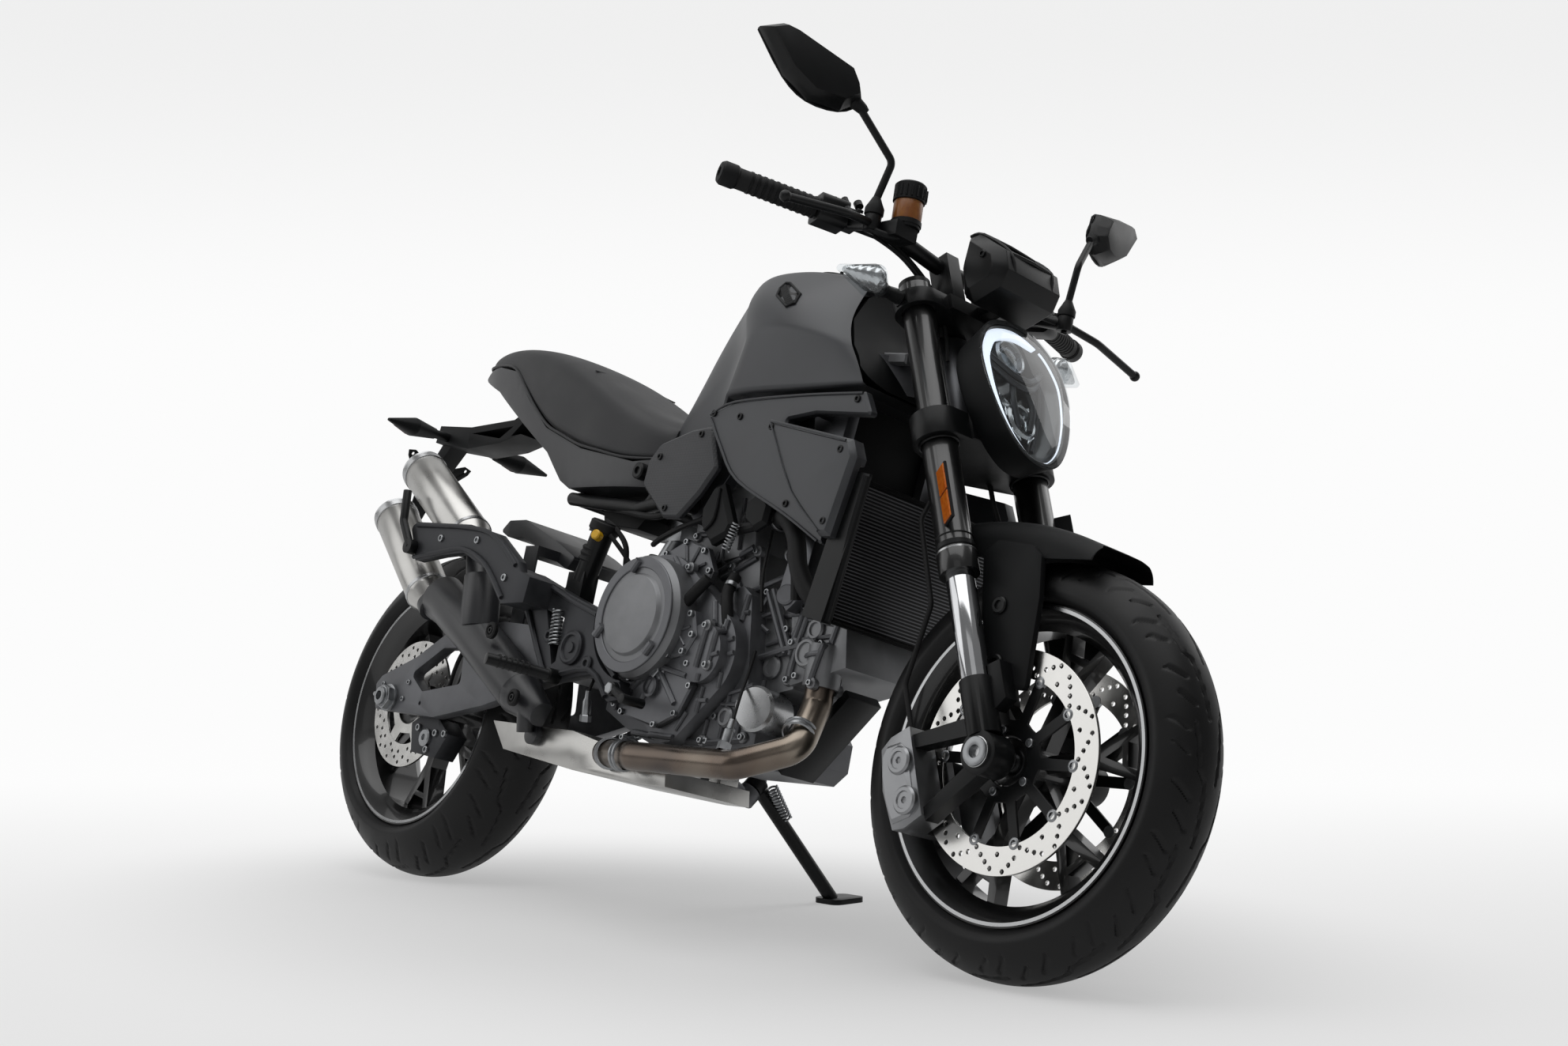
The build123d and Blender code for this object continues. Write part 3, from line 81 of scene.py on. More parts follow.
REAR_HUB = Vector(JOINTS["rear_wheel_spin"]["pos_m"])
FRONT_HUB = Vector(JOINTS["front_wheel_spin"]["pos_m"])
GROUND = REAR_HUB - UP * REAR_AXLE_Z * MM + AHEAD * WHEELBASE / 2 * MM
BIKE = basis(AHEAD, LEFT, UP, GROUND)
FORK = basis(FORK_AHEAD, LEFT, FORK_UP, FRONT_HUB)
FRONT_WHEEL = basis(AHEAD, LEFT, UP, FRONT_HUB)
REAR_WHEEL = basis(AHEAD, LEFT, UP, REAR_HUB)

# The camera's place in metres from the middle of the wheelbase on the ground, and its turns
CAMERA_SPOT = GROUND + Vector((2.672, -2.157, 0.528))
CAMERA_YAW, CAMERA_PITCH, CAMERA_ROLL = (math.radians(turn) for turn in (137.78, 2.19, -0.19))
VIEW_AIM = Vector((math.cos(CAMERA_YAW), math.sin(CAMERA_YAW), 0))


def rgb(code):
    """Linear colour of an sRGB hex value."""
    parts = [int(code[i:i + 2], 16) / 255 for i in (0, 2, 4)]
    return [p / 12.92 if p <= 0.04045 else ((p + 0.055) / 1.055) ** 2.4 for p in parts] + [1.0]


def add_node(tree, kind, settings=None, links=None):
    """Adds a node to a tree, sets its sockets or properties, and links its inputs."""
    node = tree.nodes.new(kind)
    for key, value in (settings or {}).items():
        if isinstance(key, int) or key in node.inputs:
            node.inputs[key].default_value = value
        else:
            setattr(node, key, value)
    for key, source in (links or {}).items():
        tree.links.new(source, node.inputs[key])
    return node


def start_material(name, **sockets):
    """Empty material with a Principled shader whose constant sockets are set."""
    if name in bpy.data.materials:
        bpy.data.materials.remove(bpy.data.materials[name])
    material = bpy.data.materials.new(name)
    material.use_nodes = True
    tree = material.node_tree
    tree.nodes.clear()
    settings = {key.replace("_", " "): value for key, value in sockets.items()}
    shader = add_node(tree, "ShaderNodeBsdfPrincipled", settings)
    add_node(tree, "ShaderNodeOutputMaterial", None, {"Surface": shader.outputs[0]})
    place = add_node(tree, "ShaderNodeTexCoord")
    return material, tree, shader, place.outputs["Object"]


def relief(tree, shader, height, strength, depth_mm):
    """Bump of a given depth from a pattern, in place of any earlier one."""
    settings = {"Strength": strength, "Distance": depth_mm * MM}
    bump = add_node(tree, "ShaderNodeBump", settings, {"Height": height})
    tree.links.new(bump.outputs["Normal"], shader.inputs["Normal"])


def grain(tree, shader, where, dark, light, patch_mm, grain_mm, depth_mm, rough):
    """Slow drift of colour and gloss over patches, with a fine surface grain as bump."""
    patches = add_node(
        tree, "ShaderNodeTexNoise", {"Scale": 1 / (patch_mm * MM), "Detail": 4.0}, {"Vector": where},
    )
    tones = add_node(tree, "ShaderNodeValToRGB", None, {"Fac": patches.outputs["Fac"]})
    tones.color_ramp.elements[0].position, tones.color_ramp.elements[1].position = 0.3, 0.7
    tones.color_ramp.elements[0].color, tones.color_ramp.elements[1].color = rgb(dark), rgb(light)
    gloss = add_node(
        tree, "ShaderNodeMapRange",
        {"From Min": 0.3, "From Max": 0.7, "To Min": rough[0], "To Max": rough[1]},
        {"Value": patches.outputs["Fac"]},
    )
    fine = add_node(
        tree, "ShaderNodeTexNoise", {"Scale": 1 / (grain_mm * MM), "Detail": 2.0}, {"Vector": where},
    )
    tree.links.new(tones.outputs["Color"], shader.inputs["Base Color"])
    tree.links.new(gloss.outputs["Result"], shader.inputs["Roughness"])
    relief(tree, shader, fine.outputs["Fac"], 1.0, depth_mm)


def plain_finish(name, dark, light, patch_mm, grain_mm, depth_mm, rough, **sockets):
    """Material that has only a drift of tone and a grain."""
    material, tree, shader, where = start_material(name, **sockets)
    grain(tree, shader, where, dark, light, patch_mm, grain_mm, depth_mm, rough)
    return material


def matte_lacquer():
    """Grey metallic base coat under matte lacquer, sprayed: soft wide highlights, faint flake."""
    return plain_finish(
        "Matte_Grey_Lacquer", "37383B", "3E4043", 90, 1.2, 0.01, (0.40, 0.46),
        Metallic=0.35, Coat_Weight=0.25, Coat_Roughness=0.38,
    )


def moulded_nylon():
    """Black glass-filled nylon, injection moulded with a spark-eroded grain: dull, even."""
    return plain_finish(
        "Moulded_Black_Nylon", "0F1011", "151617", 60, 1.4, 0.05, (0.50, 0.60),
        IOR=1.53, Specular_IOR_Level=0.18,
    )


def dark_abs():
    """Dark grey painted ABS, moulded then sprayed satin: smoother than the nylon."""
    return plain_finish(
        "Satin_Dark_Abs", "232427", "292A2D", 80, 2.0, 0.015, (0.38, 0.46),
        IOR=1.54, Coat_Weight=0.15, Coat_Roughness=0.3,
    )


def saddle_vinyl():
    """Vinyl saddle cover, calendered with a leather grain about two millimetres across."""
    material, tree, shader, where = start_material(
        "Saddle_Vinyl", IOR=1.52, Sheen_Weight=0.1, Sheen_Roughness=0.4,
    )
    grain(tree, shader, where, "131417", "191A1D", 70, 2.0, 0.05, (0.48, 0.58))
    cells = add_node(
        tree, "ShaderNodeTexVoronoi", {"feature": "DISTANCE_TO_EDGE", "Scale": 1 / (2.2 * MM)},
        {"Vector": where},
    )
    crease = add_node(tree, "ShaderNodeMapRange", {"From Max": 0.12}, {"Value": cells.outputs["Distance"]})
    relief(tree, shader, crease.outputs["Result"], 0.6, 0.12)
    return material


def powder_coat():
    """Black powder coat, baked: satin with a slight orange peel about four millimetres across."""
    return plain_finish(
        "Black_Powder_Coat", "0C0D0E", "121314", 70, 4.0, 0.03, (0.36, 0.44),
        IOR=1.5, Specular_IOR_Level=0.22, Coat_Weight=0.07, Coat_Roughness=0.22,
    )


def cast_aluminium():
    """Die-cast aluminium, painted dark grey: fine sand skin with duller patches."""
    return plain_finish("Cast_Aluminium_Grey", "2E2F32", "3A3B3E", 50, 1.6, 0.05, (0.40, 0.52), Metallic=0.55)


def grey_casting():
    """Pressure-cast aluminium with a thin grey coat on the crankcase: satin, fine sand skin."""
    return plain_finish(
        "Coated_Engine_Casting", "5E5F62", "6E6F72", 50, 1.6, 0.05, (0.36, 0.48), Metallic=0.6,
    )


def forged_aluminium():
    """Aluminium forging, bead-blasted and anodised mid grey: even and silky."""
    return plain_finish("Blasted_Aluminium", "5C5D60", "6A6B6E", 60, 0.9, 0.02, (0.34, 0.42), Metallic=0.85)


def anodised_caliper():
    """Forged caliper body, anodised silver: silky, with a slow drift of tone."""
    return plain_finish(
        "Silver_Anodised_Caliper", "8D8E90", "9C9D9F", 40, 0.9, 0.015, (0.32, 0.4), Metallic=0.9,
    )


def machined_aluminium():
    """Machined and clear-anodised aluminium: bright, with a very fine grain."""
    return plain_finish("Machined_Aluminium", "A9AAAB", "B9BABB", 40, 0.7, 0.01, (0.22, 0.32), Metallic=1.0)


def brushed_steel():
    """Stainless sheet, brushed: pale, with a fine grain and an uneven sheen."""
    return plain_finish("Brushed_Stainless", "B2B1AE", "C6C5C2", 70, 0.8, 0.01, (0.24, 0.36), Metallic=1.0)


def heat_tinted_steel():
    """Stainless pipe tinted by heat: drifts of straw and brown."""
    material, tree, shader, where = start_material("Heat_Tinted_Stainless", Metallic=1.0)
    grain(tree, shader, where, "666059", "867E75", 60, 0.8, 0.01, (0.24, 0.34))
    bands = add_node(tree, "ShaderNodeTexNoise", {"Scale": 1 / (120 * MM), "Detail": 2.0}, {"Vector": where})
    tints = add_node(tree, "ShaderNodeValToRGB", None, {"Fac": bands.outputs["Fac"]})
    ramp = tints.color_ramp
    ramp.elements[0].position, ramp.elements[0].color = 0.32, rgb("57504C")
    ramp.elements[1].position, ramp.elements[1].color = 0.68, rgb("8C8378")
    middle = ramp.elements.new(0.5)
    middle.color = rgb("6E635A")
    tree.links.new(tints.outputs["Color"], shader.inputs["Base Color"])
    return material


def hard_chrome():
    """Ground and hard-chromed fork leg: near mirror, slightly grey."""
    return plain_finish("Hard_Chrome", "C2C3C5", "CFD0D2", 60, 0.6, 0.002, (0.08, 0.14), Metallic=1.0)


def zinc_steel():
    """Zinc-plated steel fasteners: pale, a little uneven."""
    return plain_finish("Zinc_Plated_Steel", "8E9092", "A2A4A6", 12, 0.8, 0.01, (0.28, 0.4), Metallic=1.0)


def tyre_rubber():
    """Tyre tread compound, moulded: deep grey, dry, faint mould grain."""
    return plain_finish(
        "Tyre_Rubber", "0A0A0B", "101011", 60, 1.6, 0.04, (0.44, 0.54), IOR=1.52, Specular_IOR_Level=0.3,
    )


def moulded_rubber():
    """Soft moulded rubber of grips and hoses: black and matte."""
    return plain_finish(
        "Moulded_Rubber", "0D0D0E", "131314", 40, 1.8, 0.06, (0.6, 0.7), IOR=1.52, Specular_IOR_Level=0.3,
    )


def gloss_black():
    """Black lacquer under clear coat on the cast wheels and fork tubes: sharp reflections."""
    return plain_finish(
        "Gloss_Black_Lacquer", "070708", "0B0B0C", 90, 3.0, 0.006, (0.3, 0.36),
        Coat_Weight=0.6, Coat_Roughness=0.08,
    )


def ground_steel():
    """Stainless brake steel, ground then swept by the pads: bright, with a slow drift of tone."""
    return plain_finish("Ground_Brake_Steel", "CFCECB", "DCDBD8", 30, 0.7, 0.003, (0.2, 0.28), Metallic=1.0)


def clear_polycarbonate():
    """Clear polycarbonate as a thin cover: seen through, with reflections that grow toward its edges."""
    material, tree, shader, where = start_material("Clear_Polycarbonate", IOR=1.58)
    grain(tree, shader, where, "F2F4F5", "FAFBFC", 90, 8.0, 0.002, (0.02, 0.04))
    edge = add_node(tree, "ShaderNodeFresnel", {"IOR": 1.58})
    inner = add_node(tree, "ShaderNodeNewGeometry")
    outer = add_node(
        tree, "ShaderNodeMath", {"operation": "SUBTRACT", 0: 1.0}, {1: inner.outputs["Backfacing"]},
    )
    facing = add_node(
        tree, "ShaderNodeMath", {"operation": "MULTIPLY"}, {0: edge.outputs[0], 1: outer.outputs[0]},
    )
    clear = add_node(tree, "ShaderNodeBsdfTransparent", {"Color": rgb("F4F6F7")})
    shine = add_node(tree, "ShaderNodeBsdfGlossy", {"Roughness": 0.03, "Color": (1, 1, 1, 1)})
    cover = add_node(
        tree, "ShaderNodeMixShader", None, {0: facing.outputs[0], 1: clear.outputs[0], 2: shine.outputs[0]},
    )
    output = next(node for node in tree.nodes if node.type == "OUTPUT_MATERIAL")
    tree.links.new(cover.outputs[0], output.inputs["Surface"])
    return material


def bare_casting():
    """Sand-cast aluminium left bare on heads and clutch cover: paler than the coated case, open grain."""
    return plain_finish("Bare_Sand_Casting", "7A7B7D", "8C8D8F", 40, 1.8, 0.08, (0.44, 0.56), Metallic=0.75)


def dotted_nylon():
    """Dark nylon panel moulded with a regular field of dimples four millimetres apart."""
    material, tree, shader, where = start_material("Dimpled_Grey_Nylon", IOR=1.53)
    grain(tree, shader, where, "2A2B2E", "323336", 70, 1.4, 0.03, (0.46, 0.54))
    parts = add_node(tree, "ShaderNodeSeparateXYZ", None, {0: where})
    side_view = add_node(tree, "ShaderNodeCombineXYZ", None, {0: parts.outputs["X"], 1: parts.outputs["Z"]})
    dots = add_node(
        tree, "ShaderNodeTexVoronoi",
        {"voronoi_dimensions": "2D", "Scale": 1 / (4.2 * MM), "Randomness": 0.0},
        {"Vector": side_view.outputs[0]},
    )
    rise = add_node(
        tree, "ShaderNodeMapRange", {"From Min": 0.2, "From Max": 0.4}, {"Value": dots.outputs["Distance"]},
    )
    relief(tree, shader, rise.outputs["Result"], 0.5, 0.4)
    return material


def light_reflector():
    """Vacuum-metallised reflector with a fluted face behind the clear lens."""
    material, tree, shader, where = start_material("Metallised_Reflector", Metallic=0.9)
    grain(tree, shader, where, "C9CCCE", "DDE0E2", 12, 2.0, 0.02, (0.22, 0.3))
    flutes = add_node(
        tree, "ShaderNodeTexWave", {"Scale": 1 / (18 * MM), "Distortion": 0.6}, {"Vector": where},
    )
    relief(tree, shader, flutes.outputs["Fac"], 0.7, 0.8)
    return material


def yellow_nylon():
    """Yellow nylon plug, moulded: clean and slightly glossy."""
    return plain_finish("Yellow_Nylon", "D9A514", "E6B420", 20, 1.4, 0.02, (0.34, 0.42), IOR=1.53)


def red_acrylic():
    """Red acrylic tail lens with a prismatic back."""
    return plain_finish(
        "Red_Acrylic", "8E0D10", "A01418", 20, 3.0, 0.1, (0.08, 0.14), IOR=1.49, Transmission_Weight=0.4,
    )


def amber_acrylic():
    """Amber acrylic reflector: faceted back seen through a smooth face."""
    return plain_finish(
        "Amber_Acrylic", "C65A12", "DD7A1E", 6, 3.0, 0.15, (0.16, 0.24), IOR=1.49, Coat_Weight=0.6,
    )


def light_guide():
    """Frosted acrylic light guide, lit from its ends: even white glow."""
    material, tree, shader, where = start_material("Lit_Light_Guide", IOR=1.49, Emission_Strength=1.0)
    grain(tree, shader, where, "E8EDF2", "F5F8FA", 30, 3.0, 0.02, (0.3, 0.4))
    shader.inputs["Emission Color"].default_value = rgb("EAF2FF")
    return material


def nylon_reservoir():
    """Translucent nylon pot with amber fluid behind it."""
    return plain_finish(
        "Amber_Nylon_Pot", "8A4A1C", "A86428", 14, 2.0, 0.02, (0.28, 0.36), IOR=1.53, Subsurface_Weight=0.2,
    )


def silvered_glass():
    """Silvered mirror glass: clean reflection."""
    return plain_finish("Silvered_Glass", "D8DBDD", "E2E5E6", 90, 9.0, 0.001, (0.02, 0.04), Metallic=1.0)


MAKERS = (
    matte_lacquer, moulded_nylon, dark_abs, saddle_vinyl, powder_coat, cast_aluminium, forged_aluminium,
    machined_aluminium, brushed_steel, heat_tinted_steel, hard_chrome, zinc_steel, tyre_rubber,
    moulded_rubber, gloss_black, ground_steel, clear_polycarbonate, red_acrylic, amber_acrylic,
    light_guide, nylon_reservoir, silvered_glass, bare_casting, grey_casting, anodised_caliper,
    dotted_nylon, light_reflector, yellow_nylon,
)
FINISH = {maker.__name__: maker() for maker in MAKERS}

# Finish of each solid that shows as it was built
NODE_FINISH = {
    "forged_aluminium": ("frame",),
    "anodised_caliper": ("front_calipers",),
    "powder_coat": (
        "rear_subframe", "yokes", "fork_feet", "mirrors", "instrument_pod", "handlebar", "hand_controls",
        "side_stand", "pedals", "footrests", "regulator", "radiator", "rear_master_cylinder",
    ),
    "cast_aluminium": ("footrest_plates", "rear_caliper"),
    "grey_casting": ("crankcase", "swingarm"),
    "bare_casting": ("cylinders", "clutch_cover"),
    "dotted_nylon": ("side_covers",),
    "moulded_nylon": (
        "airbox", "battery_tray", "plate_carrier", "rear_indicators", "headlamp_shell", "front_mudguard",
    ),
    "matte_lacquer": ("fuel_tank", "radiator_shrouds"),
    "dark_abs": ("rear_hugger", "tail_unit", "exhaust_shield"),
    "saddle_vinyl": ("seat",),
    "heat_tinted_steel": ("exhaust_header",),
    "brushed_steel": ("exhaust_box", "silencers"),
    "zinc_steel": ("front_axle", "rear_axle", "chain", "rear_sprocket", "shock_absorber"),
    "hard_chrome": ("fork_sliders",),
    "gloss_black": ("front_rim", "rear_rim", "fork_tubes"),
    "tyre_rubber": ("front_tyre", "rear_tyre"),
    "moulded_rubber": ("grips", "brake_hoses"),
    "ground_steel": ("front_discs", "rear_disc"),
    "clear_polycarbonate": ("headlamp_lens", "front_indicators"),
    "red_acrylic": ("tail_lamp",),
}


def smooth_by_angle():
    """Node group that shades smooth except across edges sharper than thirty degrees."""
    group = bpy.data.node_groups.new("Smooth_By_Angle", "GeometryNodeTree")
    group.interface.new_socket("Geometry", in_out="INPUT", socket_type="NodeSocketGeometry")
    group.interface.new_socket("Geometry", in_out="OUTPUT", socket_type="NodeSocketGeometry")
    given = add_node(group, "NodeGroupInput")
    angle = add_node(group, "GeometryNodeInputMeshEdgeAngle")
    limit = {"operation": "LESS_THAN", 1: math.radians(30)}
    flat = add_node(group, "FunctionNodeCompare", limit, {0: angle.outputs["Unsigned Angle"]})
    faces = add_node(group, "GeometryNodeSetShadeSmooth", {"domain": "FACE"}, {"Geometry": given.outputs[0]})
    edges = add_node(
        group, "GeometryNodeSetShadeSmooth", {"domain": "EDGE"},
        {"Geometry": faces.outputs[0], "Shade Smooth": flat.outputs["Result"]},
    )
    add_node(group, "NodeGroupOutput", None, {0: edges.outputs[0]})
    return group


def finish_solids(edge_mm):
    """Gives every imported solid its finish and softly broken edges."""
    shading = smooth_by_angle()
    sharp = ("front_tyre", "rear_tyre", "headlamp_lens", "brake_hoses", "chain")
    for finish, nodes in NODE_FINISH.items():
        for name in nodes:
            solid = frame["nodes"][name]
            solid.data.materials.clear()
            solid.data.materials.append(FINISH[finish])
            weld = solid.modifiers.new("Weld", "WELD")
            weld.merge_threshold = 0.02 * MM
            if name not in sharp:
                bevel = solid.modifiers.new("Broken_Edges", "BEVEL")
                bevel.width = edge_mm * MM
                bevel.segments = 2
                bevel.limit_method = "ANGLE"
                bevel.angle_limit = math.radians(38)
            solid.modifiers.new("Shading", "NODES").node_group = shading


def add_piece(name, shape, place, finish, body):
    """Makes a riding object from a bmesh in the millimetres of a place matrix."""
    shape.transform(place)
    bmesh.ops.recalc_face_normals(shape, faces=shape.faces)
    mesh = bpy.data.meshes.new(name)
    shape.to_mesh(mesh)
    shape.free()
    mesh.polygons.foreach_set("use_smooth", [True] * len(mesh.polygons))
    mesh.set_sharp_from_angle(angle=math.radians(32))
    mesh.materials.append(FINISH[finish])
    piece = bpy.data.objects.new(name, mesh)
    bpy.context.scene.collection.objects.link(piece)
    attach(piece, body)
    return piece


def give_wall(piece, thick):
    """Gives an open sheet a wall of so many millimetres behind its face."""
    wall = piece.modifiers.new("Wall", "SOLIDIFY")
    wall.thickness = thick * MM
    wall.offset = -1


def grid_faces(shape, rows, wrap_rows, wrap_columns):
    """Quads between equal rows of vertices."""
    count, width = len(rows), len(rows[0])
    for i in range(count if wrap_rows else count - 1):
        ahead = rows[(i + 1) % count]
        for j in range(width if wrap_columns else width - 1):
            shape.faces.new((rows[i][j], ahead[j], ahead[(j + 1) % width], rows[i][(j + 1) % width]))


def revolve(shape, profile, centre, axis, steps, closed=False):
    """Turns a profile of (radius, height) about an axis through a centre."""
    axis = Vector(axis).normalized()
    side = axis.orthogonal().normalized()
    other = axis.cross(side)
    rows = []
    for i in range(steps):
        turn = 2 * math.pi * i / steps
        spoke = side * math.cos(turn) + other * math.sin(turn)
        rows.append([shape.verts.new(Vector(centre) + spoke * r + axis * h) for r, h in profile])
    grid_faces(shape, rows, True, closed)
    if not closed:
        for end in (0, -1):
            shape.faces.new([row[end] for row in rows])


def bolt(shape, at, along, radius, height):
    """Socket-head screw standing on a face."""
    profile = [
        (radius, -0.5), (radius, height - 0.8), (radius - 0.8, height), (radius * 0.55, height),
        (radius * 0.5, height * 0.3), (0.2, height * 0.3),
    ]
    revolve(shape, profile, at, along, 14)


def hex_nut(shape, at, along, radius, height):
    """Six-sided nut with a chamfered top."""
    revolve(shape, [(radius, 0), (radius, height - 1.5), (radius - 1.6, height), (0.3, height)], at, along, 6)


def curve_point(before, here, after, beyond, t):
    """Point at a share t of the way from here to after, on a smooth curve through four points."""
    return 0.5 * (
        2 * here + (after - before) * t + (2 * before - 5 * here + 4 * after - beyond) * t * t
        + (3 * here - before - 3 * after + beyond) * t**3
    )


def tube(shape, points, radius, steps, bends, closed_ends=True):
    """Round tube along a smooth curve through the points."""
    spots = [Vector(p) for p in points]
    path = []
    last = len(spots) - 1
    for i in range(last):
        four = spots[max(i - 1, 0)], spots[i], spots[i + 1], spots[min(i + 2, last)]
        path += [curve_point(*four, k / bends) for k in range(bends)]
    path.append(spots[-1])
    side = (path[1] - path[0]).orthogonal().normalized()
    rows = []
    for i, spot in enumerate(path):
        along = (path[min(i + 1, len(path) - 1)] - path[max(i - 1, 0)]).normalized()
        side = (side - along * side.dot(along)).normalized()
        other = along.cross(side)
        turns = [2 * math.pi * k / steps for k in range(steps)]
        ring = [side * math.cos(turn) + other * math.sin(turn) for turn in turns]
        rows.append([shape.verts.new(spot + spoke * radius) for spoke in ring])
    grid_faces(shape, rows, False, True)
    if closed_ends:
        shape.faces.new(rows[0])
        shape.faces.new(rows[-1])


def tubes(shape, runs):
    """Tubes from rows of (points, radius, steps, bends)."""
    for points, radius, steps, bends in runs:
        tube(shape, points, radius, steps, bends)


def coil(shape, low, high, radius, wire, turns):
    """Coil spring between two points."""
    low, high = Vector(low), Vector(high)
    axis = (high - low).normalized()
    side = axis.orthogonal().normalized()
    other = axis.cross(side)
    steps = int(turns * 14)
    points = []
    for i in range(steps + 1):
        turn = 2 * math.pi * turns * i / steps
        spoke = side * math.cos(turn) + other * math.sin(turn)
        points.append(low + (high - low) * i / steps + spoke * radius)
    tube(shape, points, wire, 8, 1)


def plate(name, outline, holes, depth, edge):
    """Flat plate with round or drawn holes, as a bmesh in local x, y with its middle at z zero."""
    curve = bpy.data.curves.new(name, "CURVE")
    curve.dimensions = "2D"
    curve.fill_mode = "BOTH"
    curve.extrude = depth / 2 - edge
    curve.bevel_depth = edge
    curve.bevel_resolution = 0
    curve.offset = -edge
    for loop in [outline] + list(holes):
        spline = curve.splines.new("POLY")
        spline.points.add(len(loop) - 1)
        for point, (x, y) in zip(spline.points, loop):
            point.co = (x, y, 0, 1)
        spline.use_cyclic_u = True
    holder = bpy.data.objects.new(name, curve)
    bpy.context.scene.collection.objects.link(holder)
    mesh = bpy.data.meshes.new_from_object(holder.evaluated_get(bpy.context.evaluated_depsgraph_get()))
    bpy.data.objects.remove(holder)
    shape = bmesh.new()
    shape.from_mesh(mesh)
    bpy.data.meshes.remove(mesh)
    bmesh.ops.remove_doubles(shape, verts=shape.verts, dist=0.01)
    return shape


def circle(x, y, radius, steps):
    """Points of a circle."""
    turns = [2 * math.pi * i / steps for i in range(steps)]
    return [(x + radius * math.cos(turn), y + radius * math.sin(turn)) for turn in turns]


def merge(into, other, matrix):
    """Adds one bmesh's faces to another, through a matrix."""
    other.transform(matrix)
    spots = {vert: into.verts.new(vert.co) for vert in other.verts}
    for face in other.faces:
        into.faces.new([spots[vert] for vert in face.verts])
    other.free()


def lateral(x, y, z):
    """Matrix that stands a plate drawn in x, y up in the side view at a lateral station."""
    return Matrix.Translation((x, y, z)) @ Matrix.Rotation(math.pi / 2, 4, "X")


class RoadsterSettings(bpy.types.PropertyGroup):
    """Sizes and colours that a user of the machine would change."""

    edge: FloatProperty(
        name="Broken edge", description="Width of the broken edges in mm", default=1.4, min=0.2, max=4.0,
    )
    groove: FloatProperty(
        name="Groove depth", description="Depth of the tread grooves in mm", default=3.2, min=0.5, max=6.0,
    )
    front_slashes: IntProperty(
        name="Front repeats", description="Repeats of the tread round the front tyre", default=11,
    )
    rear_slashes: IntProperty(
        name="Rear repeats", description="Repeats of the tread round the rear tyre", default=11,
    )
    disc_groups: IntProperty(name="Disc drillings", description="Groups of holes in a front disc", default=10)
    floor_colour: FloatVectorProperty(
        name="Floor", description="Colour of the floor and backdrop", subtype="COLOR", size=3,
        default=(0.7, 0.7, 0.7),
    )
    key_power: FloatProperty(
        name="Key light", description="Power of the large overhead softbox", subtype="POWER", unit="POWER",
        default=70.0,
    )
    lens: FloatProperty(
        name="Lens", description="Focal length of the camera in mm on a 36 mm sensor", default=47.47,
    )


def settings():
    """The machine's settings in the open scene."""
    return bpy.context.scene.roadster


class RoadsterSolids(bpy.types.Operator):
    """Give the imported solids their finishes"""

    bl_idname = "roadster.solids"
    bl_label = "Finish Solids"

    def execute(self, context):
        finish_solids(settings().edge)
        return {"FINISHED"}


def near_line(along, across, start, end):
    """Distance of points from a straight groove's centre line."""
    run = np.array(end, float) - np.array(start, float)
    part = ((along - start[0]) * run[0] + (across - start[1]) * run[1]) / (run @ run)
    part = np.clip(part, 0, 1)
    return np.hypot(along - start[0] - part * run[0], across - start[1] - part * run[1])


def tread_cut(along, across, pitch, lines, width):
    """How deep the tread is cut at points, from 0 to 1, for slashes that repeat each pitch on both sides."""
    cut = np.zeros_like(along)
    for side, offset in ((1, 0.0), (-1, 0.5)):
        place = np.mod(along - offset * pitch, pitch)
        for start, end in lines:
            for repeat in (-1, 0, 1):
                gap = near_line(
                    place + repeat * pitch, side * across, (start[0] * pitch, start[1]),
                    (end[0] * pitch, end[1]),
                )
                cut = np.maximum(cut, np.clip((width - gap) / 1.2, 0, 1))
    return cut


def tyre_shape(radius, half, crown, rim_half, slashes, lines, groove):
    """Tyre with cut tread, round the y axis."""
    shoulder = radius - crown + math.sqrt(crown**2 - half**2)
    edge = rim_half - 6.3
    across = np.linspace(-half, half, 57)
    turns = np.arange(0, 2 * math.pi, math.radians(0.5))
    height = radius - crown + np.sqrt(crown**2 - across**2)
    spread, turn_grid = np.meshgrid(across, turns)
    pitch = 2 * math.pi * radius / slashes
    depth = groove * tread_cut(turn_grid * radius, spread, pitch, lines, 3.0)
    wall = []
    for part in np.linspace(0, 1, 9)[1:]:
        bulge = 2.5 * math.sin(math.pi * part)
        rib = 0.8 if 0.55 < part < 0.8 else 0.0
        wide = half + (edge + 4 - half) * part**1.6 + bulge + rib
        wall.append((shoulder + (RIM_LIP_RADIUS - shoulder) * part, wide))
    bead = wall + [(RIM_LIP_RADIUS, edge), (BEAD_RADIUS, edge), (BEAD_RADIUS, edge - 14)]
    shape = bmesh.new()
    rows = []
    for i, turn in enumerate(turns):
        ring = [(r, -y) for r, y in bead[::-1]] + list(zip(height - depth[i], across)) + bead
        rows.append([shape.verts.new((r * math.cos(turn), y, r * math.sin(turn))) for r, y in ring])
    grid_faces(shape, rows, True, True)
    return shape


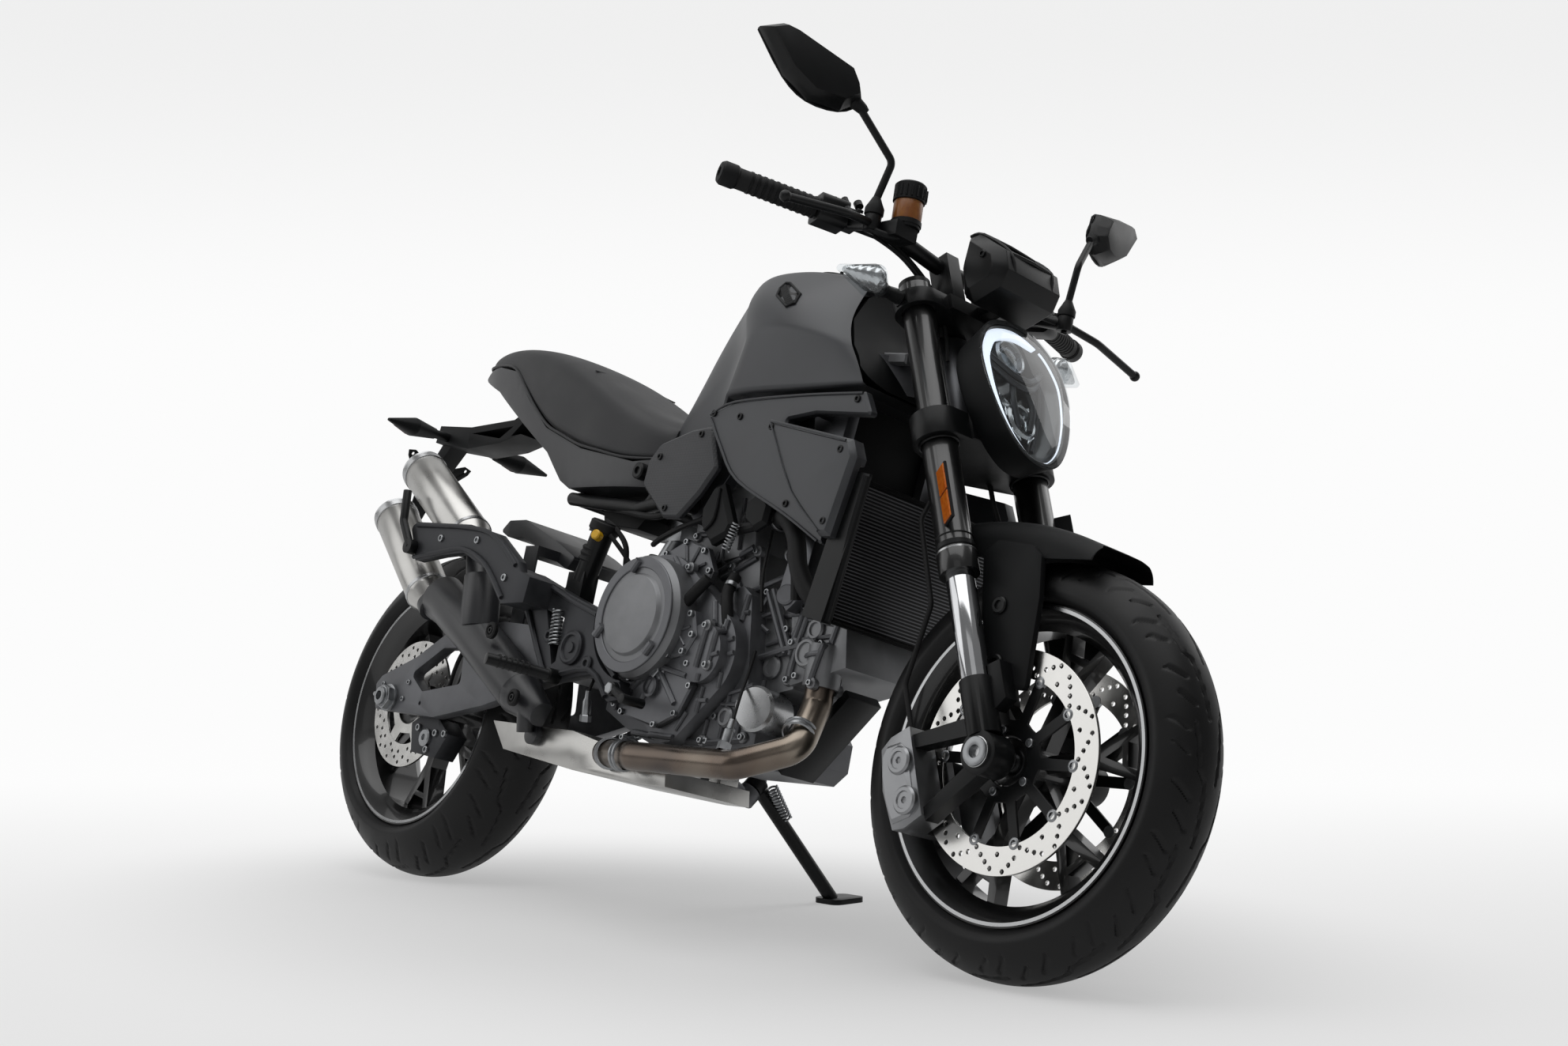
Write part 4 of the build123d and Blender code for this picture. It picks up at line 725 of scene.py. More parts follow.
class RoadsterTyres(bpy.types.Operator):
    """Tyres with cut treads in place of the plain rings"""

    bl_idname = "roadster.tyres"
    bl_label = "Tyres"

    def execute(self, context):
        front_lines = [
            ((0.00, 7), (0.50, 15)), ((0.50, 15), (0.58, 24)), ((0.58, 24), (0.96, 29)),
            ((0.10, 27), (0.22, 42)), ((0.34, 31), (0.46, 48)), ((0.70, 38), (0.80, 50)),
            ((0.90, 38), (1.0, 52)),
        ]
        rear_lines = [
            ((0.00, 9), (0.46, 20)), ((0.46, 20), (0.56, 36)), ((0.56, 36), (0.92, 46)),
            ((0.06, 36), (0.22, 60)), ((0.30, 46), (0.46, 74)), ((0.64, 60), (0.76, 80)),
            ((0.84, 58), (0.98, 82)),
        ]
        groove = settings().groove
        front = tyre_shape(
            FRONT_RADIUS, FRONT_HALF, FRONT_CROWN, FRONT_RIM_HALF, settings().front_slashes, front_lines,
            groove,
        )
        rear = tyre_shape(
            REAR_RADIUS, REAR_HALF, REAR_CROWN, REAR_RIM_HALF, settings().rear_slashes, rear_lines, groove,
        )
        tyre = add_piece("Front_Tyre", front, FRONT_WHEEL, "tyre_rubber", "front_wheel")
        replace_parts(tyre, "front_tyre")
        tyre = add_piece("Rear_Tyre", rear, REAR_WHEEL, "tyre_rubber", "rear_wheel")
        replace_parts(tyre, "rear_tyre")
        return {"FINISHED"}


def drilled_ring(name, outer, inner, groups, rows):
    """Brake ring with groups of holes set in slanting rows."""
    holes = [circle(0, 0, inner, 96)]
    for group in range(groups):
        for radius, turn in rows:
            angle = 2 * math.pi * (group + turn) / groups
            holes.append(circle(radius * math.cos(angle), radius * math.sin(angle), 3.6, 10))
    return plate(name, circle(0, 0, outer, 128), holes, 5.0, 0.4)


def carrier(name, arms, reach, boss, bore, arm_half):
    """Disc carrier: a boss with tapered arms out to the bobbins."""
    outline = []
    for arm in range(arms):
        middle = 2 * math.pi * arm / arms
        for turn, radius in ((-0.5, boss), (-0.22, boss + 2)):
            angle = middle + turn * 2 * math.pi / arms
            outline.append((radius * math.cos(angle), radius * math.sin(angle)))
        for turn in (-1, 1):
            angle = middle + turn * arm_half / reach
            outline.append((reach * math.cos(angle), reach * math.sin(angle)))
        angle = middle + 0.22 * 2 * math.pi / arms
        outline.append(((boss + 2) * math.cos(angle), (boss + 2) * math.sin(angle)))
    return plate(name, outline, [circle(0, 0, bore, 48)], 4.4, 0.5)


class RoadsterBrakes(bpy.types.Operator):
    """Drilled discs on bobbin carriers"""

    bl_idname = "roadster.brakes"
    bl_label = "Brake Discs"

    def execute(self, context):
        rows = [
            (126, 0.12), (134, 0.26), (142, 0.38), (150, 0.5), (154, 0.74), (146, 0.86), (130, 0.62),
            (138, 0.98),
        ]
        rings, hubs, buttons = bmesh.new(), bmesh.new(), bmesh.new()
        for side in (1, -1):
            y = side * 62.5
            merge(rings, drilled_ring("ring", 160, 119, settings().disc_groups, rows), lateral(0, y, 0))
            merge(hubs, carrier("carrier", 10, 117, 58, 36, 8), lateral(0, y, 0))
            for i in range(10):
                angle = 2 * math.pi * i / 10
                at = (118 * math.cos(angle), y - side * 3.2, 118 * math.sin(angle))
                button = [(9, 0), (9, 6.0), (7.6, 6.8), (5, 6.8), (4.6, 5.4), (0.3, 5.4)]
                revolve(buttons, button, at, (0, side, 0), 16)
            for i in range(5):
                angle = 2 * math.pi * (i + 0.5) / 5
                at = (46 * math.cos(angle), y + side * 2, 46 * math.sin(angle))
                bolt(buttons, at, (0, side, 0), 6.5, 4.5)
        discs = add_piece(
            "Front_Brake_Rings", rings, FRONT_WHEEL, "ground_steel", "front_wheel",
        )
        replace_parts(discs, "front_discs")
        add_piece("Front_Disc_Carriers", hubs, FRONT_WHEEL, "powder_coat", "front_wheel")
        add_piece("Front_Disc_Bobbins", buttons, FRONT_WHEEL, "zinc_steel", "front_wheel")
        y = -95.5
        rear_rows = [(90, 0.1), (98, 0.3), (106, 0.5), (114, 0.7), (94, 0.62), (104, 0.9), (114, 0.16)]
        ring = bmesh.new()
        merge(ring, drilled_ring("ring", 122.5, 79, 9, rear_rows), lateral(0, y, 0))
        merge(ring, carrier("carrier", 6, 84, 58, 40, 12), lateral(0, y, 0))
        disc = add_piece("Rear_Brake_Disc", ring, REAR_WHEEL, "ground_steel", "rear_wheel")
        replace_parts(disc, "rear_disc")
        return {"FINISHED"}


def lamp_outline(inset, steps=6):
    """Egg outline of the headlamp in left and up, wide above and narrow below."""
    wide, rise, drop = 104.0 - inset, 96.0 - inset, 160.0 - inset
    right = [(0.62, 0.80), (0.92, 0.40), (1.0, 0.0), (0.90, -0.38), (0.64, -0.74), (0.30, -0.955)]
    spots = [(0, 1.0)] + right + [(0, -1.0)] + [(-u, v) for u, v in right[::-1]]
    corners = [Vector((u * wide, 606 + v * (rise if v > 0 else drop))) for u, v in spots]
    points = []
    for i in range(len(corners)):
        four = [corners[(i + k) % len(corners)] for k in (-1, 0, 1, 2)]
        points += [tuple(curve_point(*four, k / steps)) for k in range(steps)]
    return points


class RoadsterLamp(bpy.types.Operator):
    """Inside of the headlamp: bowl, light guide, bars, facets and projectors"""

    bl_idname = "roadster.lamp"
    bl_label = "Headlamp"

    def execute(self, context):
        bowl = bmesh.new()
        rows = []
        for ahead, inset in ((99, 9), (86, 13), (74, 24), (66, 44), (62, 70)):
            rows.append([bowl.verts.new((ahead, y, z)) for y, z in lamp_outline(inset)])
        grid_faces(bowl, rows, False, True)
        bowl.faces.new(rows[-1])
        give_wall(add_piece("Lamp_Bowl", bowl, FORK, "gloss_black", "steering"), 1.2)
        guide = bmesh.new()
        outer = lamp_outline(12)
        for order, widths, back in (
            (list(range(44, 84)) + list(range(6)), lambda t: 3 + 17 * math.sin(math.pi * t**1.5) ** 0.7, 88),
            (list(range(6, 44)), lambda t: 1.6, 93.5),
        ):
            rows = []
            for i, k in enumerate(order):
                y, z = outer[k]
                width = widths(i / (len(order) - 1))
                inward = Vector((-y, 600 - z)).normalized() * width
                rows.append([
                    guide.verts.new(spot) for spot in (
                        (back, y, z), (95, y, z), (96, y + inward.x * 0.5, z + inward.y * 0.5),
                        (95, y + inward.x, z + inward.y), (back - 1, y + inward.x, z + inward.y),
                    )
                ])
            grid_faces(guide, rows, False, True)
            guide.faces.new(rows[0])
            guide.faces.new(rows[-1])
        add_piece("Lamp_Light_Guide", guide, FORK, "light_guide", "steering")
        bars = bmesh.new()
        for low, reach, ahead in ((604, 72, 92), (590, 66, 90)):
            tip, knee, back = low + 40, low + 6, ahead - 12
            chevron = [
                (back, -reach, tip), (ahead, -26, knee), (ahead + 2, 0, low), (ahead, 26, knee),
                (back, reach, tip),
            ]
            tube(bars, chevron, 5, 8, 6)
        for across in (-1, 1):
            tube(bars, [(82, across * 62, 640), (78, across * 46, 560), (74, across * 18, 490)], 4, 8, 6)
            tube(bars, [(86, across * 14, 596), (88, across * 22, 560), (82, across * 12, 520)], 5, 8, 6)
        add_piece("Lamp_Chevron_Bars", bars, FORK, "dark_abs", "steering")
        beard = bmesh.new()
        face_on = Matrix(((0, 0, 1), (1, 0, 0), (0, 1, 0))).to_4x4()
        for across in (-1, 1):
            for k in range(3):
                low, near, far = 500 + 24 * k, 3 * k, 7 * k
                facet = [(8 + near, low), (26 + far, low + 14), (24 + far, low + 30), (10 + near, low + 18)]
                facet = [(across * y, z) for y, z in facet]
                if across > 0:
                    facet.reverse()
                place = Matrix.Translation((78 - 2 * k, 0, 0)) @ face_on
                merge(beard, plate("facet", facet, [], 4, 1.2), place)
        add_piece("Lamp_Reflector_Facets", beard, FORK, "light_reflector", "steering")
        projector = bmesh.new()
        for up, radius in ((652, 26), (536, 24)):
            profile = [(radius + 7, 0), (radius + 7, 16), (radius + 3, 20), (radius, 18), (radius, 6)]
            revolve(projector, profile, (64, 0, up), (1, 0, 0), 32)
        add_piece("Lamp_Projector_Rings", projector, FORK, "machined_aluminium", "steering")
        eyes = bmesh.new()
        for up, radius in ((652, 25), (536, 23)):
            arc = np.linspace(0, math.pi / 2 - 0.02, 8)
            profile = [(radius * math.cos(a), 8 + 12 * math.sin(a)) for a in arc]
            revolve(eyes, profile, (64, 0, up), (1, 0, 0), 32)
        add_piece("Lamp_Projector_Lenses", eyes, FORK, "clear_polycarbonate", "steering")
        return {"FINISHED"}


def seen_rays(tree):
    """One for camera and glass rays, a part for mirror rays, and nought for the rest."""
    rays = add_node(tree, "ShaderNodeLightPath")
    metal = add_node(
        tree, "ShaderNodeMath", {"operation": "MULTIPLY", 1: 0.65}, {0: rays.outputs["Is Glossy Ray"]},
    )
    mirrored = add_node(
        tree, "ShaderNodeMath", {"operation": "MAXIMUM"},
        {0: metal.outputs[0], 1: rays.outputs["Is Transmission Ray"]},
    )
    seen = add_node(
        tree, "ShaderNodeMath", {"operation": "MAXIMUM"},
        {0: rays.outputs["Is Camera Ray"], 1: mirrored.outputs[0]},
    )
    return seen.outputs[0]


def stage_material(colour):
    """Pale seamless paper: matte under the lamps, and near white where it is seen, with the shadow kept, a
    painted pool of shade round the machine and a painted falloff of light across the sweep.
    """
    material, tree, shader, where = start_material("Seamless_Paper", IOR=1.45)
    shader.inputs["Roughness"].default_value = 0.9
    shader.inputs["Base Color"].default_value = (*colour, 1)
    glow = add_node(tree, "ShaderNodeEmission", {"Color": (1, 1, 1, 1), "Strength": 1.0})
    parts = add_node(tree, "ShaderNodeSeparateXYZ", None, {0: where})
    depth = add_node(tree, "ShaderNodeVectorMath", {"operation": "DOT_PRODUCT", 1: VIEW_AIM}, {0: where})
    ahead = add_node(tree, "ShaderNodeMath", {"operation": "ADD", 1: 1.2}, {0: depth.outputs["Value"]})
    away = add_node(tree, "ShaderNodeMath", {"operation": "ABSOLUTE"}, {0: ahead.outputs[0]})
    spread = add_node(
        tree, "ShaderNodeVectorMath", {"operation": "MULTIPLY_ADD", 1: (0.66, 1, 0), 2: (0, 0.2, 0)},
        {0: where},
    )
    apart = add_node(tree, "ShaderNodeVectorMath", {"operation": "LENGTH"}, {0: spread.outputs[0]})
    share = seen_rays(tree)
    # Whiter toward each horizon and dimmer high up, a painted falloff of light; dimmer round the machine, a
    # painted pool of shade that also lets its real shadow show
    for source, near, far, least, most in (
        (away.outputs[0], 0.0, 3.8, 0.62, 0.97),
        (apart.outputs["Value"], 0.3, 1.05, 0.55, 1.0),
        (parts.outputs["Z"], 2.0, 4.2, 1.0, 0.88),
    ):
        level = add_node(
            tree, "ShaderNodeMapRange",
            {
                "interpolation_type": "SMOOTHSTEP", "From Min": near, "From Max": far, "To Min": least,
                "To Max": most,
            },
            {"Value": source},
        )
        both = add_node(
            tree, "ShaderNodeMath", {"operation": "MULTIPLY"}, {0: share, 1: level.outputs["Result"]},
        )
        share = both.outputs[0]
    paper = add_node(tree, "ShaderNodeMixShader", None, {0: share, 1: shader.outputs[0], 2: glow.outputs[0]})
    output = next(node for node in tree.nodes if node.type == "OUTPUT_MATERIAL")
    tree.links.new(paper.outputs[0], output.inputs["Surface"])
    return material


class RoadsterStage(bpy.types.Operator):
    """Floor, soft light and the camera"""

    bl_idname = "roadster.stage"
    bl_label = "Stage"

    def execute(self, context):
        scene = bpy.context.scene
        scene.view_settings.view_transform = "Standard"
        side = Vector((-VIEW_AIM.y, VIEW_AIM.x, 0))
        sweep = [(-14.0, 0.0), (6.0, 0.0)]
        arc = np.linspace(0.1, math.pi / 2, 15)
        sweep += [(6.0 + 3.0 * math.sin(a), 3.0 - 3.0 * math.cos(a)) for a in arc]
        sweep += [(9.0, 12.0)]
        spots = [VIEW_AIM * out + Vector((0, 0, up)) for out, up in sweep]
        points = [spot + side * across for spot in spots for across in (-18.0, 18.0)]
        strips = [(2 * i, 2 * i + 1, 2 * i + 3, 2 * i + 2) for i in range(len(sweep) - 1)]
        mesh = bpy.data.meshes.new("Floor")
        mesh.from_pydata(points, [], strips)
        mesh.polygons.foreach_set("use_smooth", [True] * len(strips))
        mesh.materials.append(stage_material(settings().floor_colour))
        floor = bpy.data.objects.new("Floor", mesh)
        scene.collection.objects.link(floor)
        world = bpy.data.worlds.new("Studio")
        scene.world = world
        world.use_nodes = True
        tree = world.node_tree
        tree.nodes.clear()
        rays = add_node(tree, "ShaderNodeLightPath")
        seen = add_node(
            tree, "ShaderNodeMath", {"operation": "MAXIMUM"},
            {0: rays.outputs["Is Camera Ray"], 1: rays.outputs["Is Transmission Ray"]},
        )
        mirrored = add_node(
            tree, "ShaderNodeMapRange", {"To Min": 0.1, "To Max": 0.2},
            {"Value": rays.outputs["Is Glossy Ray"]},
        )
        level = add_node(
            tree, "ShaderNodeMapRange", {"To Max": 1.0},
            {"Value": seen.outputs[0], "To Min": mirrored.outputs["Result"]},
        )
        sky = add_node(
            tree, "ShaderNodeBackground", {"Color": (1, 1, 1, 1)}, {"Strength": level.outputs["Result"]},
        )
        add_node(tree, "ShaderNodeOutputWorld", None, {"Surface": sky.outputs[0]})
        lights = (
            ("Overhead_Softbox", (0.3, -0.4, 3.4), (0.0, 0.0, 0.5), 3.6, 1.0),
            ("Camera_Side_Softbox", (2.6, -3.4, 2.4), (0.2, 0.0, 0.6), 2.4, 0.08),
            ("Rear_Softbox", (-2.6, -3.0, 2.3), (-0.3, 0.0, 0.6), 3.2, 0.48),
            ("Far_Side_Softbox", (0.8, 3.2, 2.6), (0.0, 0.0, 0.6), 2.4, 0.26),
        )
        for name, spot, target, side, share in lights:
            data = bpy.data.lights.new(name, "AREA")
            data.size = side
            data.energy = settings().key_power * share
            lamp = bpy.data.objects.new(name, data)
            lamp.location = spot
            lamp.rotation_euler = (Vector(target) - Vector(spot)).to_track_quat("-Z", "Y").to_euler()
            scene.collection.objects.link(lamp)
        data = bpy.data.cameras.new("Camera")
        data.sensor_width = 36.0
        data.lens = settings().lens
        camera = bpy.data.objects.new("Camera", data)
        camera.rotation_mode = "QUATERNION"
        aim = VIEW_AIM * math.cos(CAMERA_PITCH) + Vector((0, 0, math.sin(CAMERA_PITCH)))
        camera.location = CAMERA_SPOT
        level_turn = aim.to_track_quat("-Z", "Y")
        camera.rotation_quaternion = Matrix.Rotation(CAMERA_ROLL, 3, aim).to_quaternion() @ level_turn
        scene.collection.objects.link(camera)
        scene.camera = camera
        return {"FINISHED"}


def skin(name, rows, finish, body, creases, levels=2):
    """Smooth closed surface through rings of points; creases name sharp rows and columns."""
    shape = bmesh.new()
    sharp = shape.edges.layers.float.new("crease_edge")
    grid = [[shape.verts.new(spot) for spot in row] for row in rows]
    grid_faces(shape, grid, False, True)
    shape.faces.new(grid[0])
    shape.faces.new(grid[-1])
    for kind, i, force in creases:
        line = grid[i] if kind == "row" else [row[i] for row in grid]
        for one, two in zip(line, line[1:]):
            edge = shape.edges.get((one, two))
            if edge:
                edge[sharp] = force
    piece = add_piece(name, shape, BIKE, finish, body)
    smooth = piece.modifiers.new("Smooth", "SUBSURF")
    smooth.levels = levels
    smooth.render_levels = levels
    return piece


def whole(half):
    """Closed section from the right half of one, mirrored across the middle plane."""
    return [(x, -y, z) for x, y, z in half] + [(x, y, z) for x, y, z in half[:0:-1]]


class RoadsterRims(bpy.types.Operator):
    """Bright rings on the rim lips, a painted highlight standing for the lips' reflection, and tyre valves"""

    bl_idname = "roadster.rims"
    bl_label = "Rim Highlight Rings"

    def execute(self, context):
        for place, half, body, name in (
            (FRONT_WHEEL, FRONT_RIM_HALF, "front_wheel", "Front"),
            (REAR_WHEEL, REAR_RIM_HALF, "rear_wheel", "Rear"),
        ):
            # Bright metal rings on each rim lip: a painted highlight in place of the gloss lip's reflection
            lines = bmesh.new()
            for side in (1, -1):
                y = side * half
                deep, proud = y - side * 0.6, y + side * 0.5
                profile = [(221.5, deep), (221.5, proud), (226.5, proud), (226.5, deep)]
                revolve(lines, profile, (0, 0, 0), (0, 1, 0), 160, closed=True)
            add_piece(name + "_Rim_Highlight_Ring", lines, place, "machined_aluminium", body)
            valve = bmesh.new()
            stem = [(5, 0), (5, 6), (3, 8), (3, 26), (4, 27), (4, 34), (0.3, 34)]
            revolve(valve, stem, (-150, -12, -123), (0.75, -0.1, 0.6), 12)
            add_piece(name + "_Tyre_Valve", valve, place, "moulded_rubber", body)
        return {"FINISHED"}


TANK_ROWS = (
    ((-124, 0, 876), (-124, 30, 874), (-122, 56, 866), (-120, 70, 850), (-118, 76, 832), (-116, 78, 806),
     (-114, 78, 788)),
    ((-94, 0, 914), (-94, 40, 909), (-94, 68, 894), (-92, 82, 866), (-90, 88, 838), (-88, 90, 808),
     (-86, 90, 790)),
    ((-38, 0, 1006), (-38, 50, 999), (-36, 80, 980), (-32, 97, 930), (-26, 103, 884), (-22, 104, 836),
     (-20, 104, 798)),
    ((6, 0, 1072), (8, 50, 1066), (14, 84, 1046), (34, 108, 990), (62, 122, 930), (50, 122, 880),
     (40, 120, 822)),
    ((38, 0, 1100), (40, 52, 1095), (48, 92, 1080), (72, 138, 1024), (122, 162, 950), (104, 158, 896),
     (84, 152, 856)),
    ((60, 0, 1106), (64, 54, 1102), (72, 96, 1088), (98, 148, 1028), (142, 170, 956), (126, 166, 898),
     (108, 158, 856)),
    ((110, 0, 1108), (112, 54, 1104), (118, 98, 1090), (136, 150, 1030), (176, 173, 960), (166, 169, 900),
     (156, 160, 854)),
    ((190, 0, 1100), (190, 52, 1096), (190, 97, 1084), (202, 150, 1026), (222, 173, 958), (220, 168, 900),
     (216, 161, 852)),
    ((262, 0, 1084), (262, 50, 1080), (260, 95, 1068), (266, 146, 1006), (282, 168, 945), (292, 164, 895),
     (296, 158, 850)),
    ((312, 0, 1070), (308, 50, 1064), (300, 90, 1052), (314, 138, 984), (344, 158, 930), (362, 158, 888),
     (376, 157, 850)),
    ((326, 0, 1064), (322, 48, 1058), (312, 86, 1044), (328, 132, 974), (366, 150, 920), (394, 152, 882),
     (414, 154, 850)),
)


class RoadsterTank(bpy.types.Operator):
    """Fuel tank with its hollow front and filler cap"""

    bl_idname = "roadster.tank"
    bl_label = "Fuel Tank"

    def execute(self, context):
        rim = [Vector(spot) for spot in TANK_ROWS[-1]]
        lip = [(x - 4, y * 0.975, z - 4 if z > 1000 else z) for x, y, z in rim]
        floor = [(x - 52, y * 0.86, z - 18 if z > 1000 else z) for x, y, z in rim]
        rows = [whole(row) for row in TANK_ROWS + (lip, floor)]
        middle, last = len(TANK_ROWS[0]) - 1, len(rows[0])
        creases = [("row", row, 0.85) for row in (0, 4, 10, 11, 12)]
        for column, force in ((middle, 0.85), (2, 0.55), (4, 0.5)):
            creases += [("column", column, force), ("column", last - column, force)]
        tank = skin("Fuel_Tank", rows, "matte_lacquer", "chassis", creases, 3)
        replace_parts(tank, "fuel_tank")
        cap = bmesh.new()
        lid = [(44, -6), (44, 3), (41, 5), (30, 5.5), (29, 8), (14, 9), (0.4, 9)]
        revolve(cap, lid, (150, 0, 1103), (0.12, 0, 1), 40)
        for i in range(7):
            turn = 2 * math.pi * i / 7
            bolt(cap, (150 + 36 * math.cos(turn), 36 * math.sin(turn), 1107), (0.12, 0, 1), 3.2, 3)
        add_piece("Filler_Cap", cap, BIKE, "powder_coat", "chassis")
        lining = [whole([(x - 3, y * 0.955, z - 8 if z > 1000 else z + 2) for x, y, z in rim])]
        lining.append(whole([(x - 46, y * 0.84, z - 24 if z > 1000 else z + 2) for x, y, z in rim]))
        creases = [("row", 0, 0.9), ("row", 1, 0.9)]
        skin("Tank_Front_Lining", lining, "moulded_nylon", "chassis", creases)
        return {"FINISHED"}


SEAT_ROWS = (
    (-112, 62, 846, 88, 812, 776), (-150, 84, 852, 108, 814, 771), (-210, 100, 872, 120, 824, 774),
    (-270, 108, 902, 128, 850, 786), (-330, 110, 934, 130, 878, 800), (-395, 108, 966, 128, 908, 824),
    (-450, 104, 988, 124, 934, 846), (-515, 98, 1008, 116, 962, 888), (-580, 90, 1022, 106, 988, 938),
    (-640, 80, 1032, 96, 1008, 982), (-710, 66, 1038, 80, 1020, 999), (-775, 48, 1036, 60, 1022, 1006),
    (-806, 30, 1030, 40, 1021, 1009),
)


class RoadsterSaddle(bpy.types.Operator):
    """Padded saddle with its welt"""

    bl_idname = "roadster.saddle"
    bl_label = "Saddle"

    def execute(self, context):
        rows = []
        for x, edge, edge_z, wide, wide_z, seam in SEAT_ROWS:
            crown = edge_z + 9
            rows.append(whole([
                (x, 0, crown), (x, edge * 0.55, crown - 2), (x, edge, edge_z),
                (x, wide - 4, (edge_z + wide_z) / 2), (x, wide, wide_z), (x, wide + 1, seam + 3),
            ]))
        creases = [("column", 5, 0.85), ("column", 6, 0.85), ("row", 0, 0.85), ("row", len(rows) - 1, 0.85)]
        pad = skin("Saddle", rows, "saddle_vinyl", "chassis", creases, 3)
        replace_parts(pad, "seat")
        welt = bmesh.new()
        for side in (1, -1):
            line = [(x, side * (wide + 1.5), seam + 3) for x, edge, ez, wide, wz, seam in SEAT_ROWS]
            tube(welt, line, 2.6, 8, 4)
        seam = [(-346 - 34 * math.cos(a * 0.5), 104 * math.sin(a)) for a in np.linspace(-1.2, 1.2, 9)]
        tube(welt, [(x, y, 952 + 12 * math.cos(y / 90.0)) for x, y in seam], 1.6, 6, 3)
        add_piece("Saddle_Welt", welt, BIKE, "saddle_vinyl", "chassis")
        return {"FINISHED"}


class RoadsterRadiator(bpy.types.Operator):
    """Tubes and rails of the radiator"""

    bl_idname = "roadster.radiator"
    bl_label = "Radiator Core"

    def execute(self, context):
        lean = math.radians(12.0)
        up = Vector((math.sin(lean), 0, math.cos(lean)))
        out = Vector((math.cos(lean), 0, -math.sin(lean)))
        low = Vector((430, 0, 478))
        fins = bmesh.new()
        count = 40
        for i in range(count):
            rise = 8 + 204 * i / (count - 1)
            half = 148 + 18 * rise / 218
            middle = low + up * rise + out * 0.5
            rows = []
            for y in (-half, half):
                spot = middle + Vector((0, y, 0))
                section = ((-0.9, 0), (-0.9, 3.4), (0.9, 3.4), (0.9, 0))
                rows.append([fins.verts.new(spot + up * a + out * b) for a, b in section])
            grid_faces(fins, rows, False, True)
        add_piece("Radiator_Tubes", fins, BIKE, "grey_casting", "chassis")
        rails = bmesh.new()
        for side in (1, -1):
            for rise, half in ((0, 150), (214, 170)):
                spot = low + up * rise + out * 3
                tube(rails, [spot + Vector((0, -half, 0)), spot + Vector((0, half, 0))], 4, 8, 1)
            ends = ((-2, 161), (222, 172))
            rail = [low + up * rise + Vector((0, side * half, 0)) + out * 3 for rise, half in ends]
            tube(rails, rail, 6, 8, 1)
        add_piece("Radiator_Rails", rails, BIKE, "moulded_nylon", "chassis")
        return {"FINISHED"}


def star(shape, centre, radius, spokes, y, thick=3.0):
    """Stiffening ribs round a boss on a casting, in the side view."""
    x, z = centre
    for i in range(spokes):
        turn = 2 * math.pi * i / spokes + 0.3
        ends = [(x + reach * math.cos(turn), y, z + reach * math.sin(turn)) for reach in (6, radius)]
        tube(shape, ends, thick, 6, 1)
    revolve(shape, [(9, -3), (9, 4), (7, 6), (3.5, 6), (3, 2), (0.3, 2)], (x, y, z), (0, -1, 0), 18)


